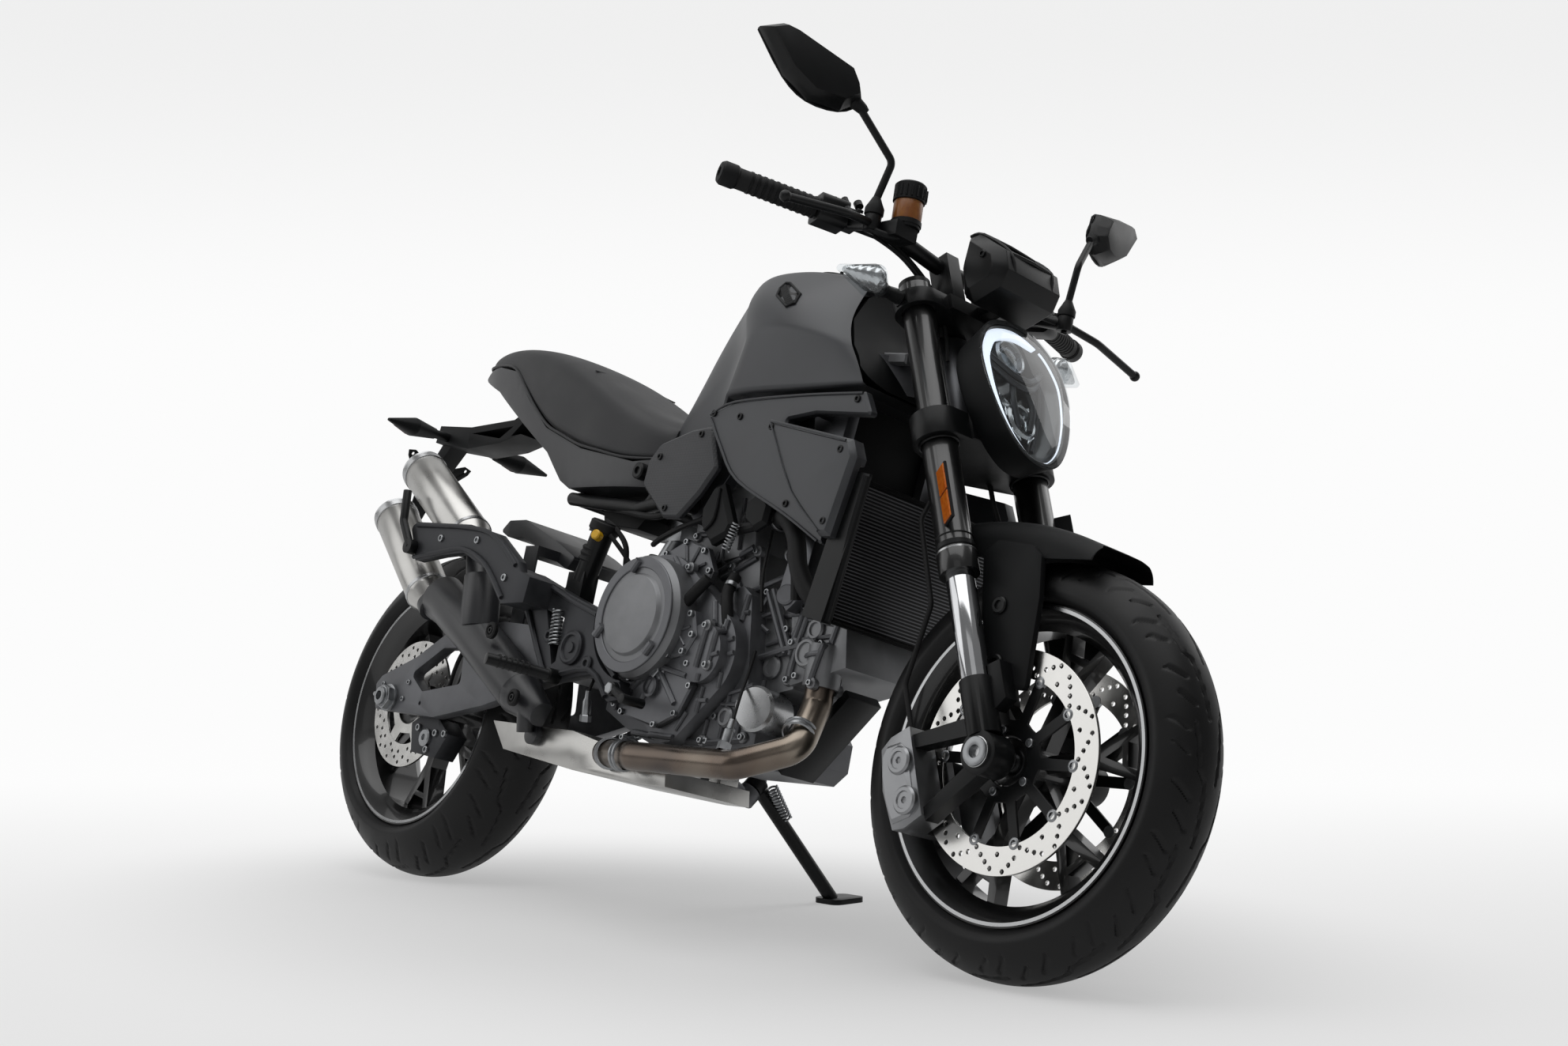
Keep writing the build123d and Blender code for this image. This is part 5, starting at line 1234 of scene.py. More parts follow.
class RoadsterEngine(bpy.types.Operator):
    """Covers, ribs, bolts, hoses and filter on the engine"""

    bl_idname = "roadster.engine"
    bl_label = "Engine Dressing"

    def execute(self, context):
        castings = bmesh.new()
        lower = [(-34, 318), (-30, 380), (10, 420), (60, 428), (118, 410), (134, 372), (110, 322), (60, 300)]
        upper = [(-62, 560), (-30, 600), (20, 622), (74, 606), (100, 566), (86, 524), (40, 512), (0, 540)]
        water = [(40, 430), (36, 470), (70, 500), (112, 492), (128, 452), (108, 420), (70, 412)]
        for outline, depth, edge, y in ((lower, 14, 3, -138), (upper, 16, 3, -112), (water, 26, 4, -140)):
            merge(castings, plate("cover", outline, [], depth, edge), lateral(0, y, 0))
        star(castings, (36, 565), 46, 8, -121)
        star(castings, (82, 456), 32, 6, -153, 2.4)
        star(castings, (180, 495), 42, 8, -80, 3.4)
        for x0, z0, x1, z1, y in (
            (10, 330, 40, 400, -146), (100, 340, 44, 396, -146), (118, 386, 52, 398, -146),
            (-20, 360, 24, 392, -146), (146, 417, 262, 446, -82), (262, 446, 339, 461, -84),
            (202, 540, 268, 440, -82), (214, 544, 280, 444, -82), (120, 440, 140, 520, -106),
            (160, 540, 240, 566, -82), (150, 360, 236, 384, -104), (180, 330, 226, 300, -104),
        ):
            tube(castings, [(x0, y, z0), (x1, y, z1)], 5.0, 8, 1)
        revolve(castings, [(17, 0), (17, 7), (13, 9), (12, 3), (0.4, 3)], (36, -145, 365), (0, -1, 0), 28)
        revolve(castings, [(18, 0), (17, 36), (14, 38), (0.4, 38)], (271, -80, 525), (0.3, -1, 0.1), 24)
        merge(
            castings, plate("rim", circle(0, 0, 98, 64), [circle(0, 0, 80, 64)], 4, 1.2),
            lateral(-10, -178.5, 478),
        )
        for angle in (100, 200, 318):
            a = math.radians(angle)
            at = Vector((-10 + 84 * math.cos(a), -182, 478 + 84 * math.sin(a)))
            tube(castings, [at + Vector((-7, 0, -9)), at + Vector((7, 0, 9))], 7, 10, 1)
        add_piece("Engine_Cover_Ribs", castings, BIKE, "grey_casting", "chassis")

        screws = bmesh.new()
        for x, z, y in (
            (-30, 322, -145), (-26, 378, -145), (12, 416, -145), (60, 424, -145), (114, 406, -145),
            (130, 370, -145), (106, 324, -145), (60, 304, -145), (-56, 562, -120), (-26, 596, -120),
            (22, 616, -120), (72, 600, -120), (94, 566, -120), (82, 528, -120), (44, 474, -153),
            (72, 494, -153), (110, 486, -153), (122, 452, -153), (106, 424, -153), (70, 418, -153),
            (246, 569, -80), (262, 480, -80), (347, 458, -80), (202, 409, -80), (301, 406, -80),
            (200, 540, -80), (286, 560, -80), (-104, 340, -106), (-110, 420, -106), (160, 330, -106),
            (240, 300, -106), (232, 360, -106), (150, 290, -106),
        ):
            bolt(screws, (x, y, z), (0, -1, 0), 5.5, 6)
        for x, z in ((-100, 330), (-100, 500), (20, 330), (120, 300), (220, 300), (200, 520), (230, 430)):
            bolt(screws, (x, 106, z), (0, 1, 0), 5.5, 6)
        for i in range(9):
            turn = 2 * math.pi * i / 9
            bolt(screws, (122 + 82 * math.cos(turn), 160, 430 + 82 * math.sin(turn)), (0, 1, 0), 5, 5)
        add_piece("Engine_Screws", screws, BIKE, "zinc_steel", "chassis")

        plug = bmesh.new()
        hex_nut(plug, (39, -146, 394), (0, -1, 0), 15, 9)
        revolve(plug, [(20, 0), (20, 3), (17, 5), (0.4, 5)], (39, -143, 394), (0, -1, 0), 28)
        add_piece("Oil_Filler_Plug", plug, BIKE, "zinc_steel", "chassis")

        oil = bmesh.new()
        profile = [(36, 0), (37, 4), (37, 58), (33, 63), (20, 64), (0.4, 64)]
        revolve(oil, profile, (246, -60, 345), (0.25, -1, 0), 36)
        add_piece("Oil_Filter", oil, BIKE, "machined_aluminium", "chassis")

        hoses = bmesh.new()
        top_hose = [
            (204, -90, 652), (240, -112, 655), (282, -128, 634), (312, -140, 606), (336, -146, 560),
            (366, -140, 520), (392, -128, 508),
        ]
        tubes(hoses, (
            (top_hose, 15, 14, 6),
            ([(146, -108, 560), (150, -122, 530), (162, -126, 500), (170, -122, 468)], 10, 12, 6),
            ([(250, -96, 600), (276, -112, 590), (300, -118, 560), (302, -110, 520)], 9, 10, 6),
            ([(120, -100, 640), (150, -120, 636), (196, -126, 640), (222, -110, 662)], 9, 10, 6),
            ([(118, -140, 548), (84, -150, 505), (47, -148, 462)], 10, 12, 4),
            ([(-96, -100, 620), (-40, -126, 624), (20, -130, 642), (70, -118, 660)], 5, 8, 6),
            ([(196, -92, 640), (214, -110, 560), (230, -112, 500)], 3, 8, 6),
            ([(-120, -96, 560), (-150, -118, 600), (-172, -138, 628)], 4, 8, 6),
            ([(300, 90, 640), (340, 112, 600), (372, 120, 540), (392, 118, 500)], 14, 14, 6),
            ([(60, 100, 640), (120, 118, 600), (160, 120, 540)], 8, 10, 6),
        ))
        add_piece("Engine_Hoses", hoses, BIKE, "moulded_rubber", "chassis")
        clips = bmesh.new()
        for at, along, radius in (
            ((214, -95, 653), (1, -0.5, 0), 16.5), ((384, -132, 512), (1, 0.3, -0.4), 16.5),
            ((150, -116, 545), (0.2, -0.4, -1), 11.5), ((169, -123, 474), (0.1, 0, -1), 11.5),
            ((266, -106, 594), (1, -0.5, -0.4), 10.5), ((382, 119, 520), (0.4, 0, -1), 15.5),
        ):
            band = [(radius - 2, 0), (radius, 0.5), (radius, 7), (radius - 2, 7.5)]
            revolve(clips, band, at, along, 24, closed=True)
        add_piece("Hose_Clips", clips, BIKE, "zinc_steel", "chassis")

        springs = bmesh.new()
        coil(springs, (140, -136, 596), (162, -140, 640), 6.5, 1.5, 9)
        coil(springs, (-222, -176, 486), (-214, -176, 424), 9, 1.9, 10)
        add_piece("Return_Springs", springs, BIKE, "zinc_steel", "chassis")
        spring = bmesh.new()
        coil(spring, (18, 168, 258), (6, 226, 212), 9, 2.0, 11)
        add_piece("Stand_Spring", spring, BIKE, "zinc_steel", "side_stand")
        return {"FINISHED"}


class RoadsterExhaust(bpy.types.Operator):
    """Bands, clamps, sensors and shield mounts on the exhaust"""

    bl_idname = "roadster.exhaust"
    bl_label = "Exhaust Dressing"

    def execute(self, context):
        bands = bmesh.new()
        for start, end in (((-541, 610), (-777, 764)), ((-641, 501), (-842, 675))):
            run = (Vector((end[0], 0, end[1])) - Vector((start[0], 0, start[1]))).normalized()
            tip = Vector((end[0], -165, end[1]))
            base = Vector((start[0], -165, start[1]))
            for at, width in ((tip - run * 16, 13), (base + run * 26, 9)):
                band = [(42.2, 0), (43.4, 1), (43.4, width - 1), (42.2, width)]
                revolve(bands, band, at, run, 64, closed=True)
            lip = [(42, -2), (42.6, 1.5), (40, 3.5), (35, 2), (34.2, -4)]
            revolve(bands, lip, tip, run, 64, closed=True)
        add_piece("Silencer_Bands", bands, BIKE, "machined_aluminium", "chassis")
        clamps = bmesh.new()
        for at, along, radius in (
            ((367, -112, 314), (0.35, -0.55, -0.8), 24.2), ((30, -172, 247), (1, 0, 0), 24.4),
            ((-36, -148, 251), (1, -0.4, 0), 24.4),
        ):
            ridge = [(radius, 2), (radius + 2.2, 3), (radius + 2.2, 6), (radius - 0.8, 7)]
            profile = [(r, -h) for r, h in ridge[::-1]] + ridge
            revolve(clamps, profile, at, along, 36, closed=True)
        tube(clamps, [(30, -172, 274), (30, -160, 276), (30, -150, 272)], 4, 8, 2)
        bolt(clamps, (30, -176, 275), (0, -1, 0), 5, 8)
        front_probe = [(8, 12), (8, 34), (6, 36), (5, 52), (0.3, 52)]
        rear_probe = [(7.5, 10), (7.5, 34), (5, 40), (4.5, 52), (0.3, 52)]
        for at, along, nut, probe in (
            ((270, -172, 268), (-0.1, 0.25, 1), (11, 14), front_probe),
            ((-118, -150, 300), (0.1, -0.2, 1), (10, 12), rear_probe),
        ):
            hex_nut(clamps, at, along, *nut)
            revolve(clamps, probe, at, along, 14)
        add_piece("Exhaust_Clamps", clamps, BIKE, "zinc_steel", "chassis")
        leads = bmesh.new()
        tubes(leads, (
            ([(266, -159, 320), (250, -140, 362), (226, -112, 400), (214, -96, 440)], 2.6, 8, 8),
            ([(-114, -158, 350), (-120, -140, 400), (-136, -116, 450)], 2.6, 8, 8),
        ))
        add_piece("Sensor_Leads", leads, BIKE, "moulded_rubber", "chassis")
        pads, screws = bmesh.new(), bmesh.new()
        for x, z in ((-366, 440), (-258, 324)):
            pad = [(15, -3), (15, 3), (12, 5), (9, 5), (8, 2), (0.3, 2)]
            revolve(pads, pad, (x, -205, z), (0, -1, 0), 28)
            bolt(screws, (x, -207, z), (0, -1, 0), 6, 3)
        add_piece("Shield_Rubber_Mounts", pads, BIKE, "moulded_rubber", "chassis")
        add_piece("Shield_Screws", screws, BIKE, "powder_coat", "chassis")
        return {"FINISHED"}


class RoadsterFork(bpy.types.Operator):
    """Collars, caps, reflectors and caliper fittings on the fork"""

    bl_idname = "roadster.fork"
    bl_label = "Fork Dressing"

    def execute(self, context):
        collars, caps, bright = bmesh.new(), bmesh.new(), bmesh.new()
        amber, holders = bmesh.new(), bmesh.new()
        for side in (1, -1):
            y = side * 105
            for up, radius, tall in ((318, 29.2, 10), (336, 28.6, 4), (496, 31, 10), (540, 30, 8)):
                profile = [(radius - 2, 0), (radius, 1.5), (radius, tall - 1.5), (radius - 2, tall)]
                revolve(collars, profile, (0, y, up), (0, 0, 1), 48, closed=True)
            cap = [(25, 0), (25, 10), (21, 13), (14, 13), (13, 10), (0.4, 10)]
            revolve(caps, cap, (0, y, 780), (0, 0, 1), 32)
            hex_nut(caps, (0, y, 788), (0, 0, 1), 9, 7)
            for ahead, up in ((44, 219), (20, 138)):
                boss = [(13, -3), (13, 3), (11, 5), (7, 5), (6, 2), (0.3, 2)]
                revolve(collars, boss, (ahead, side * 80, up), (0, side, 0), 24)
            revolve(bright, [(30.2, 0), (30.2, 3)], (0, y, 312), (0, 0, 1), 48)
            ring = [(22, 0), (22, 4), (19, 6), (14, 6), (13, -2)]
            revolve(bright, ring, (0, side * 127, 0), (0, side, 0), 40)
            upright = Matrix.Rotation(side * 0.5, 4, "Z") @ Matrix.Rotation(math.pi / 2, 4, "X")
            for into, half, low, high, out, depth in (
                (holders, 17, -46, 46, 137, 5), (amber, 14, 2, 43, 140, 4), (amber, 14, -43, -1, 140, 4),
            ):
                box = [(-half, low), (half, low), (half, high), (-half, high)]
                place = Matrix.Translation((22, side * out, 394)) @ upright
                merge(into, plate("reflector", box, [], depth, 1), place)
        add_piece("Fork_Collars", collars, FORK, "powder_coat", "steering")
        add_piece("Fork_Caps", caps, FORK, "powder_coat", "steering")
        add_piece("Fork_Bright_Rings", bright, FORK, "machined_aluminium", "steering")
        add_piece("Reflector_Holders", holders, FORK, "moulded_nylon", "steering")
        add_piece("Reflectors", amber, FORK, "amber_acrylic", "steering")
        screws = bmesh.new()
        for side in (1, -1):
            for ahead, up in ((-120, 62), (-120, -48)):
                hex_nut(screws, (ahead - 20, side * 104, up + 8), (-1, 0, 0), 8, 7)
        add_piece("Caliper_Bolts", screws, FORK, "zinc_steel", "steering")
        pistons = bmesh.new()
        for side in (1, -1):
            for up in (-30, 30):
                profile = [(21, -2), (21, 6), (18, 9), (13, 9), (12, 7), (5, 7), (4, 5), (0.4, 5)]
                revolve(pistons, profile, (-140, side * 124, 8 + up), (0, side, 0), 32)
            body = [
                (-26, -54), (6, -54), (18, -44), (18, 46), (8, 58), (-16, 60), (-28, 48), (-34, 18),
                (-34, -14), (-30, -40),
            ]
            merge(pistons, plate("bridge", body, [], 14, 5), lateral(-146, side * 122, 8))
            for up in (-46, 0, 46):
                profile = [(8, 0), (8, 12), (6.5, 14), (3.5, 14), (3, 10), (0.3, 10)]
                revolve(pistons, profile, (-172, side * 104, 8 + up), (-1, 0, 0), 20)
            tube(pistons, [(-172, side * 118, -30), (-180, side * 118, 8), (-172, side * 118, 46)], 4, 10, 5)
        add_piece("Caliper_Faces", pistons, FORK, "anodised_caliper", "steering")
        return {"FINISHED"}


def surface_of(piece):
    """Finder of points on a finished piece, in the upright machine's millimetres."""
    graph = bpy.context.evaluated_depsgraph_get()
    tree = BVHTree.FromObject(piece, graph)
    back = BIKE.inverted()

    def find(start, aim):
        aim = (BIKE.to_3x3() @ Vector(aim)).normalized()
        spot, normal, index, distance = tree.ray_cast(BIKE @ Vector(start), aim)
        return (back @ spot, (back.to_3x3() @ normal).normalized()) if spot else (None, None)

    return find


class RoadsterIntakes(bpy.types.Operator):
    """Mesh intakes, screws and edging on the tank and its side panels"""

    bl_idname = "roadster.intakes"
    bl_label = "Intakes and Panel Screws"

    def execute(self, context):
        find = surface_of(bpy.data.objects["Fuel_Tank"])
        mesh, rims = bmesh.new(), bmesh.new()
        corners = [(150, 1058), (162, 1056), (212, 1020), (216, 996), (202, 990), (158, 1022), (149, 1042)]
        middle = (sum(x for x, z in corners) / 7, sum(z for x, z in corners) / 7)
        for side in (-1, 1):
            def on_tank(x, z, lift):
                spot, normal = find((x, side * 430, z + 90), (0, -side, -0.3))
                return spot + normal * lift if spot else None

            # Dark floor laid just over the tank under each mesh: painted shade standing for the intake's
            # shaded opening
            edge = [on_tank(x, z, 1.2) for x, z in corners]
            floor = [on_tank(x + (middle[0] - x) * 0.02, z + (middle[1] - z) * 0.02, 0.5) for x, z in corners]
            tube(rims, edge + [edge[0]], 2.4, 8, 1, closed_ends=False)
            centre = mesh.verts.new(on_tank(*middle, 0.5))
            ring = [mesh.verts.new(spot) for spot in floor]
            for one, two in zip(ring, ring[1:] + ring[:1]):
                mesh.faces.new((one, two, centre))
            for k in range(1, 12):
                share = k / 12
                for four in ((0, 3, 6, 4), (0, 6, 3, 4)):
                    one, two, three, other = (Vector(corners[i]) for i in four)
                    start, end = one.lerp(two, share), three.lerp(other, share)
                    run = [on_tank(*start.lerp(end, t), 0.9) for t in (0.04, 0.5, 0.96)]
                    tube(rims, run, 0.8, 6, 2)
        give_wall(add_piece("Tank_Intake_Shade_Floors", mesh, BIKE, "tyre_rubber", "chassis"), 0.4)
        add_piece("Tank_Intake_Meshes", rims, BIKE, "moulded_nylon", "chassis")
        screws = bmesh.new()
        for x, z, y in (
            (83, 822, 166), (150, 812, 166), (420, 822, 166), (300, 660, 166), (40, 794, 150),
            (-20, 668, 150), (-60, 760, 150), (262, 780, 191), (430, 734, 191), (420, 622, 191),
        ):
            for side in (-1, 1):
                bolt(screws, (x, side * y, z), (0, side, 0), 6, 3)
        for x, z in ((-362, 752), (-151, 748)):
            for side in (-1, 1):
                boss = [(15, -8), (15, 5), (12, 7), (7, 7), (6, 3), (0.3, 3)]
                revolve(screws, boss, (x, side * 118, z), (0, side, 0), 24)
        add_piece("Panel_Screws", screws, BIKE, "powder_coat", "chassis")
        edging = bmesh.new()
        for side in (-1, 1):
            y, wing = side * 167, side * 193
            tubes(edging, (
                ([(74, y, 820), (130, y, 838), (285, y, 838), (430, y, 831)], 2.2, 8, 4),
                ([(76, y, 815), (116, y, 762), (172, y, 704), (300, y, 644), (388, y, 598)], 2.2, 8, 4),
                ([(260, wing, 788), (330, wing, 773), (440, wing, 747)], 1.8, 8, 3),
                ([(260, wing, 786), (336, wing, 672), (414, wing, 606)], 1.8, 8, 3),
            ))
        add_piece("Panel_Edging", edging, BIKE, "matte_lacquer", "chassis")
        covers = bmesh.new()
        for outline, y, depth in (
            ([(104, 711), (147, 640), (140, 622), (101, 606), (66, 640), (62, 668), (84, 706)], 128, 24),
            ([(196, 700), (226, 672), (222, 640), (196, 628), (168, 646), (166, 676)], 126, 20),
        ):
            for side in (-1, 1):
                merge(covers, plate("cover", outline, [], depth, 7), lateral(0, side * y, 0))
        for side in (-1, 1):
            tube(covers, [(104, side * 141, 700), (104, side * 142, 650), (84, side * 141, 630)], 3, 8, 3)
        add_piece("Injector_Covers", covers, BIKE, "moulded_nylon", "chassis")
        return {"FINISHED"}


class RoadsterCastings(bpy.types.Operator):
    """Ribs, seams and bosses that lie on the engine's castings, and pale bars painted as a highlight on the
    frame gusset
    """

    bl_idname = "roadster.castings"
    bl_label = "Casting Ribs"

    def execute(self, context):
        finders = [surface_of(frame["nodes"][name]) for name in ("crankcase", "cylinders")]
        ribs, heads, bosses = bmesh.new(), bmesh.new(), bmesh.new()

        def drape(x, z, side, lift):
            """Point on the outermost casting at a place in the side view."""
            hits = [find((x, side * 400, z), (0, -side, 0)) for find in finders]
            spots = [spot for spot, normal in hits if spot]
            if not spots:
                return None
            outer = max(spots, key=lambda spot: side * spot.y)
            return outer + Vector((0, side * lift, 0))

        def rib(points, side, radius):
            """Rib along points of the side view, broken where the casting steps."""
            spots = []
            for (x0, z0), (x1, z1) in zip(points, points[1:]):
                steps = max(2, int(math.hypot(x1 - x0, z1 - z0) / 6))
                for k in range(steps + 1):
                    x, z = x0 + (x1 - x0) * k / steps, z0 + (z1 - z0) * k / steps
                    spots.append(drape(x, z, side, radius * 0.3))
            run = []
            for spot in spots + [None]:
                if spot is not None and (not run or abs(spot.y - run[-1].y) < 16):
                    if not run or (spot - run[-1]).length > 0.5:
                        run.append(spot)
                    continue
                if len(run) > 2:
                    tube(ribs, run, radius, 8, 1)
                run = [spot] if spot is not None else []

        for side in (-1, 1):
            for points, radius in (
                ([(168, 400), (176, 470), (190, 548)], 5), ([(274, 396), (282, 460), (296, 520)], 5),
                ([(286, 394), (294, 458), (308, 518)], 5), ([(356, 390), (366, 450), (378, 500)], 5),
                ([(170, 420), (280, 448)], 4), ([(176, 446), (284, 474)], 4), ([(182, 500), (288, 505)], 4),
                ([(300, 430), (362, 440)], 4), ([(304, 464), (368, 470)], 4), ([(310, 496), (376, 488)], 4),
                ([(60, 560), (150, 600), (206, 640)], 5), ([(52, 574), (146, 616), (198, 652)], 5),
                ([(70, 590), (60, 690)], 4), ([(110, 612), (100, 700)], 4), ([(150, 630), (140, 710)], 4),
                ([(-110, 330), (-96, 300), (20, 290), (140, 286), (236, 296)], 5),
                ([(140, 300), (150, 390)], 4), ([(180, 296), (186, 396)], 4), ([(220, 300), (222, 398)], 4),
                ([(140, 350), (230, 352)], 4), ([(-100, 560), (-60, 610), (0, 640), (50, 640)], 5),
                ([(-100, 330), (-104, 420)], 4), ([(100, 300), (120, 330)], 4),
                ([(140, 400), (150, 470), (130, 540), (90, 590)], 5), ([(0, 600), (40, 560)], 4),
                ([(60, 610), (40, 560)], 4),
            ):
                rib(points, side, radius)
            for x, z in (
                (168, 404), (190, 544), (278, 400), (300, 516), (360, 392), (376, 498), (60, 568),
                (150, 610), (202, 646), (236, 300), (140, 290), (20, 294), (-96, 304), (-104, 416),
                (-98, 556), (0, 636), (150, 468), (92, 586), (228, 352), (284, 458),
            ):
                spot = drape(x, z, side, 0)
                if spot is not None:
                    revolve(bosses, [(9.5, -6), (9.5, 4), (8, 5.5), (0.4, 5.5)], spot, (0, side, 0), 18)
                    bolt(heads, spot + Vector((0, side * 5.5, 0)), (0, side, 0), 5.2, 5)
            for x, z, radius in (
                (330, 440, 24), (236, 420, 20), (330, 480, 18), (120, 660, 20), (186, 330, 17),
            ):
                spot = drape(x, z, side, 0)
                if spot is not None:
                    profile = [
                        (radius, -10), (radius, 4), (radius - 3, 7), (radius - 7, 7), (radius - 8, 4),
                        (0.4, 4),
                    ]
                    revolve(bosses, profile, spot, (0, side, 0), 28)
        add_piece("Casting_Ribs", ribs, BIKE, "grey_casting", "chassis")
        add_piece("Casting_Bosses", bosses, BIKE, "bare_casting", "chassis")
        add_piece("Casting_Screws", heads, BIKE, "zinc_steel", "chassis")
        # Pale bars over the frame gusset, lighter than the frame's own finish: a painted highlight for the
        # top light falling on the gusset
        bars = bmesh.new()
        for side in (-1, 1):
            bar = plate("bar", [(338, 936), (416, 927), (416, 909), (338, 916)], [], 16, 3)
            merge(bars, bar, lateral(0, side * 70, 0))
        add_piece("Frame_Gusset_Highlight_Bars", bars, BIKE, "bare_casting", "chassis")
        return {"FINISHED"}


class RoadsterCockpit(bpy.types.Operator):
    """Reservoir, switch buttons, grip rings, screen and mirror glass"""

    bl_idname = "roadster.cockpit"
    bl_label = "Cockpit"

    def execute(self, context):
        pot, black, bright = bmesh.new(), bmesh.new(), bmesh.new()
        low, high = Vector((481, -190, 1090)), Vector((478, -190, 1152))
        rise = (high - low).normalized()
        revolve(pot, [(22.2, 2), (22.8, 4), (22.8, 32), (22.2, 34)], low, rise, 36, closed=True)
        revolve(black, [(22.2, 33), (25, 34), (25, 60), (22, 63), (0.4, 63)], low, rise, 36)
        revolve(black, [(22.2, -6), (24, -5), (24, 2), (22.2, 3)], low, rise, 36, closed=True)
        for i in range(18):
            turn = 2 * math.pi * i / 18
            spot = low + Vector((25 * math.cos(turn), 25 * math.sin(turn), 38))
            tube(black, [spot, spot + rise * 18], 1.4, 6, 1)
        tube(black, [(482, -190, 1084), (484, -205, 1062), (470, -226, 1062), (452, -236, 1070)], 5, 10, 6)
        add_piece("Fluid_Pot", pot, BIKE, "nylon_reservoir", "steering")
        for side in (-1, 1):
            for x, y, z, radius, tall in (
                (396, 216, 1122, 7, 6), (388, 236, 1120, 6, 8), (404, 226, 1094, 8, 6),
                (380, 250, 1118, 5, 6), (408, 246, 1100, 6, 5),
            ):
                profile = [(radius, -4), (radius, tall), (radius - 1.5, tall + 1.5), (0.3, tall + 1.5)]
                revolve(bright, profile, (x, side * y, z), (-0.6, 0, 0.8), 18)
            for x, y, z in ((426, 238, 1098), (442, 226, 1092), (452, 232, 1096), (452, 232, 1062)):
                bolt(bright, (x, side * y, z), (0.3, 0, 0.95), 5.5, 4)
            for k in range(13):
                at = Vector((326, side * 380, 1104.8)) + Vector((4.0, -side * 10, -0.615)) * k
                ring = [(16.4, -2.6), (17.6, -1.8), (17.6, 1.8), (16.4, 2.6)]
                revolve(black, ring, at, (-104, side * 260, 16), 28, closed=True)
            tip = Vector((318, side * 400, 1106))
            out = Vector((-0.37, side * 0.93, 0.06)).normalized()
            weight = [(17.4, 0), (19, 2), (19, 22), (16, 27), (8, 28), (7, 24), (0.3, 24)]
            revolve(black, weight, tip + out, out, 32)
            for run, radius in (
                ([(452, 240, 1074), (430, 200, 1080), (420, 120, 1070), (440, 60, 1020), (452, 44, 960)], 4),
                ([(400, 210, 1088), (430, 130, 1058), (452, 52, 990), (470, 40, 920)], 3),
            ):
                tube(black, [(x, side * y, z) for x, y, z in run], radius, 8, 8)
            boot = [(15, -6), (15, 4), (11, 12), (6.3, 22), (6.0, 22)]
            revolve(black, boot, (452, side * 232, 1098), (0, 0, 1), 24)
            mid = Vector((406, side * 355, 1286))
            inward = Vector((0.37, -side * 0.93, 0)).normalized()
            back = Vector((-0.93, -side * 0.37, 0)).normalized()
            outline = [
                (-104, 37), (-68, 54), (-46, 51), (54, 20), (70, -4), (78, -28), (46, -50), (-8, -50),
                (-52, -24),
            ]
            inner = [((x + 8) * 0.9 - 8, z * 0.88) for x, z in outline]
            glass = bmesh.new()
            face = [glass.verts.new(mid + inward * x + Vector((0, 0, z)) + back * 10.6) for x, z in inner]
            glass.faces.new(face)
            bmesh.ops.extrude_face_region(glass, geom=glass.faces[:])
            for vert in glass.verts[len(face):]:
                vert.co -= back * 0.4
            name = "Mirror_Glass_Left" if side == 1 else "Mirror_Glass_Right"
            add_piece(name, glass, BIKE, "silvered_glass", "steering")
            rim = [mid + inward * x * 0.985 + Vector((0, 0, z * 0.98)) + back * 10 for x, z in outline]
            tube(black, rim + rim[:1], 2.0, 8, 3, closed_ends=False)
            neck = mid + inward * 74 + Vector((0, 0, -34))
            joint = [(6.2, -16), (9, -8), (11, 8), (8, 20), (6, 26)]
            revolve(black, joint, neck, inward * -1 + Vector((0, 0, 0.5)), 20)
        add_piece("Cockpit_Fittings", black, BIKE, "moulded_nylon", "steering")
        add_piece("Switch_Buttons", bright, BIKE, "powder_coat", "steering")
        screen = bmesh.new()
        face = [(-56, -22), (56, -22), (60, -16), (60, 16), (56, 22), (-56, 22), (-60, 16), (-60, -16)]
        turn = Matrix.Rotation(math.radians(-85), 4, "Y") @ Matrix.Rotation(math.pi / 2, 4, "Z")
        merge(screen, plate("screen", face, [], 3, 0.8), Matrix.Translation((61.6, 0, 775)) @ turn)
        add_piece("Display_Screen", screen, FORK, "gloss_black", "steering")
        visor = bmesh.new()
        for across in (-1, 1):
            post = [(92, 62, 846), (114, 60, 838), (150, 50, 788), (148, 44, 754)]
            tube(visor, [(x, across * y, z) for x, y, z in post], 3, 8, 4)
        tube(visor, [(116, -62, 836), (118, 0, 837), (116, 62, 836)], 3, 8, 2)
        tube(visor, [(150, -50, 786), (153, 0, 786), (150, 50, 786)], 3, 8, 2)
        for across in (-1, 1):
            bolt(visor, (120, across * 79, 790), (0, across, 0), 6, 3)
        add_piece("Pod_Visor_Ribs", visor, FORK, "powder_coat", "steering")
        return {"FINISHED"}


def links(shape, spots, y_list, half_wide):
    """Chain link plates along a closed run of pin places in the side view."""
    count = len(spots)
    for i in range(count):
        here, after = Vector(spots[i]), Vector(spots[(i + 1) % count])
        run = (after - here).normalized()
        across = Vector((-run.y, run.x))
        outline = []
        for end, reach in ((here, -half_wide), (after, half_wide)):
            for a in np.linspace(-math.pi / 2, math.pi / 2, 5):
                outline.append(end + run * (reach * math.cos(a)) + across * (reach * math.sin(a)))
        for y in y_list[i % 2]:
            rings = [[shape.verts.new((p.x, y + dy, p.y)) for p in outline] for dy in (-0.8, 0.8)]
            grid_faces(shape, rings, False, True)
            shape.faces.new(rings[0])
            shape.faces.new(rings[1])


# Pitch of the chain, and the centre in the side view and the radius of the rear and front sprockets
CHAIN_PITCH = 15.875
SPROCKETS = ((Vector((-746, 317.9)), 106.0), (Vector((-72, 420)), 39.0))


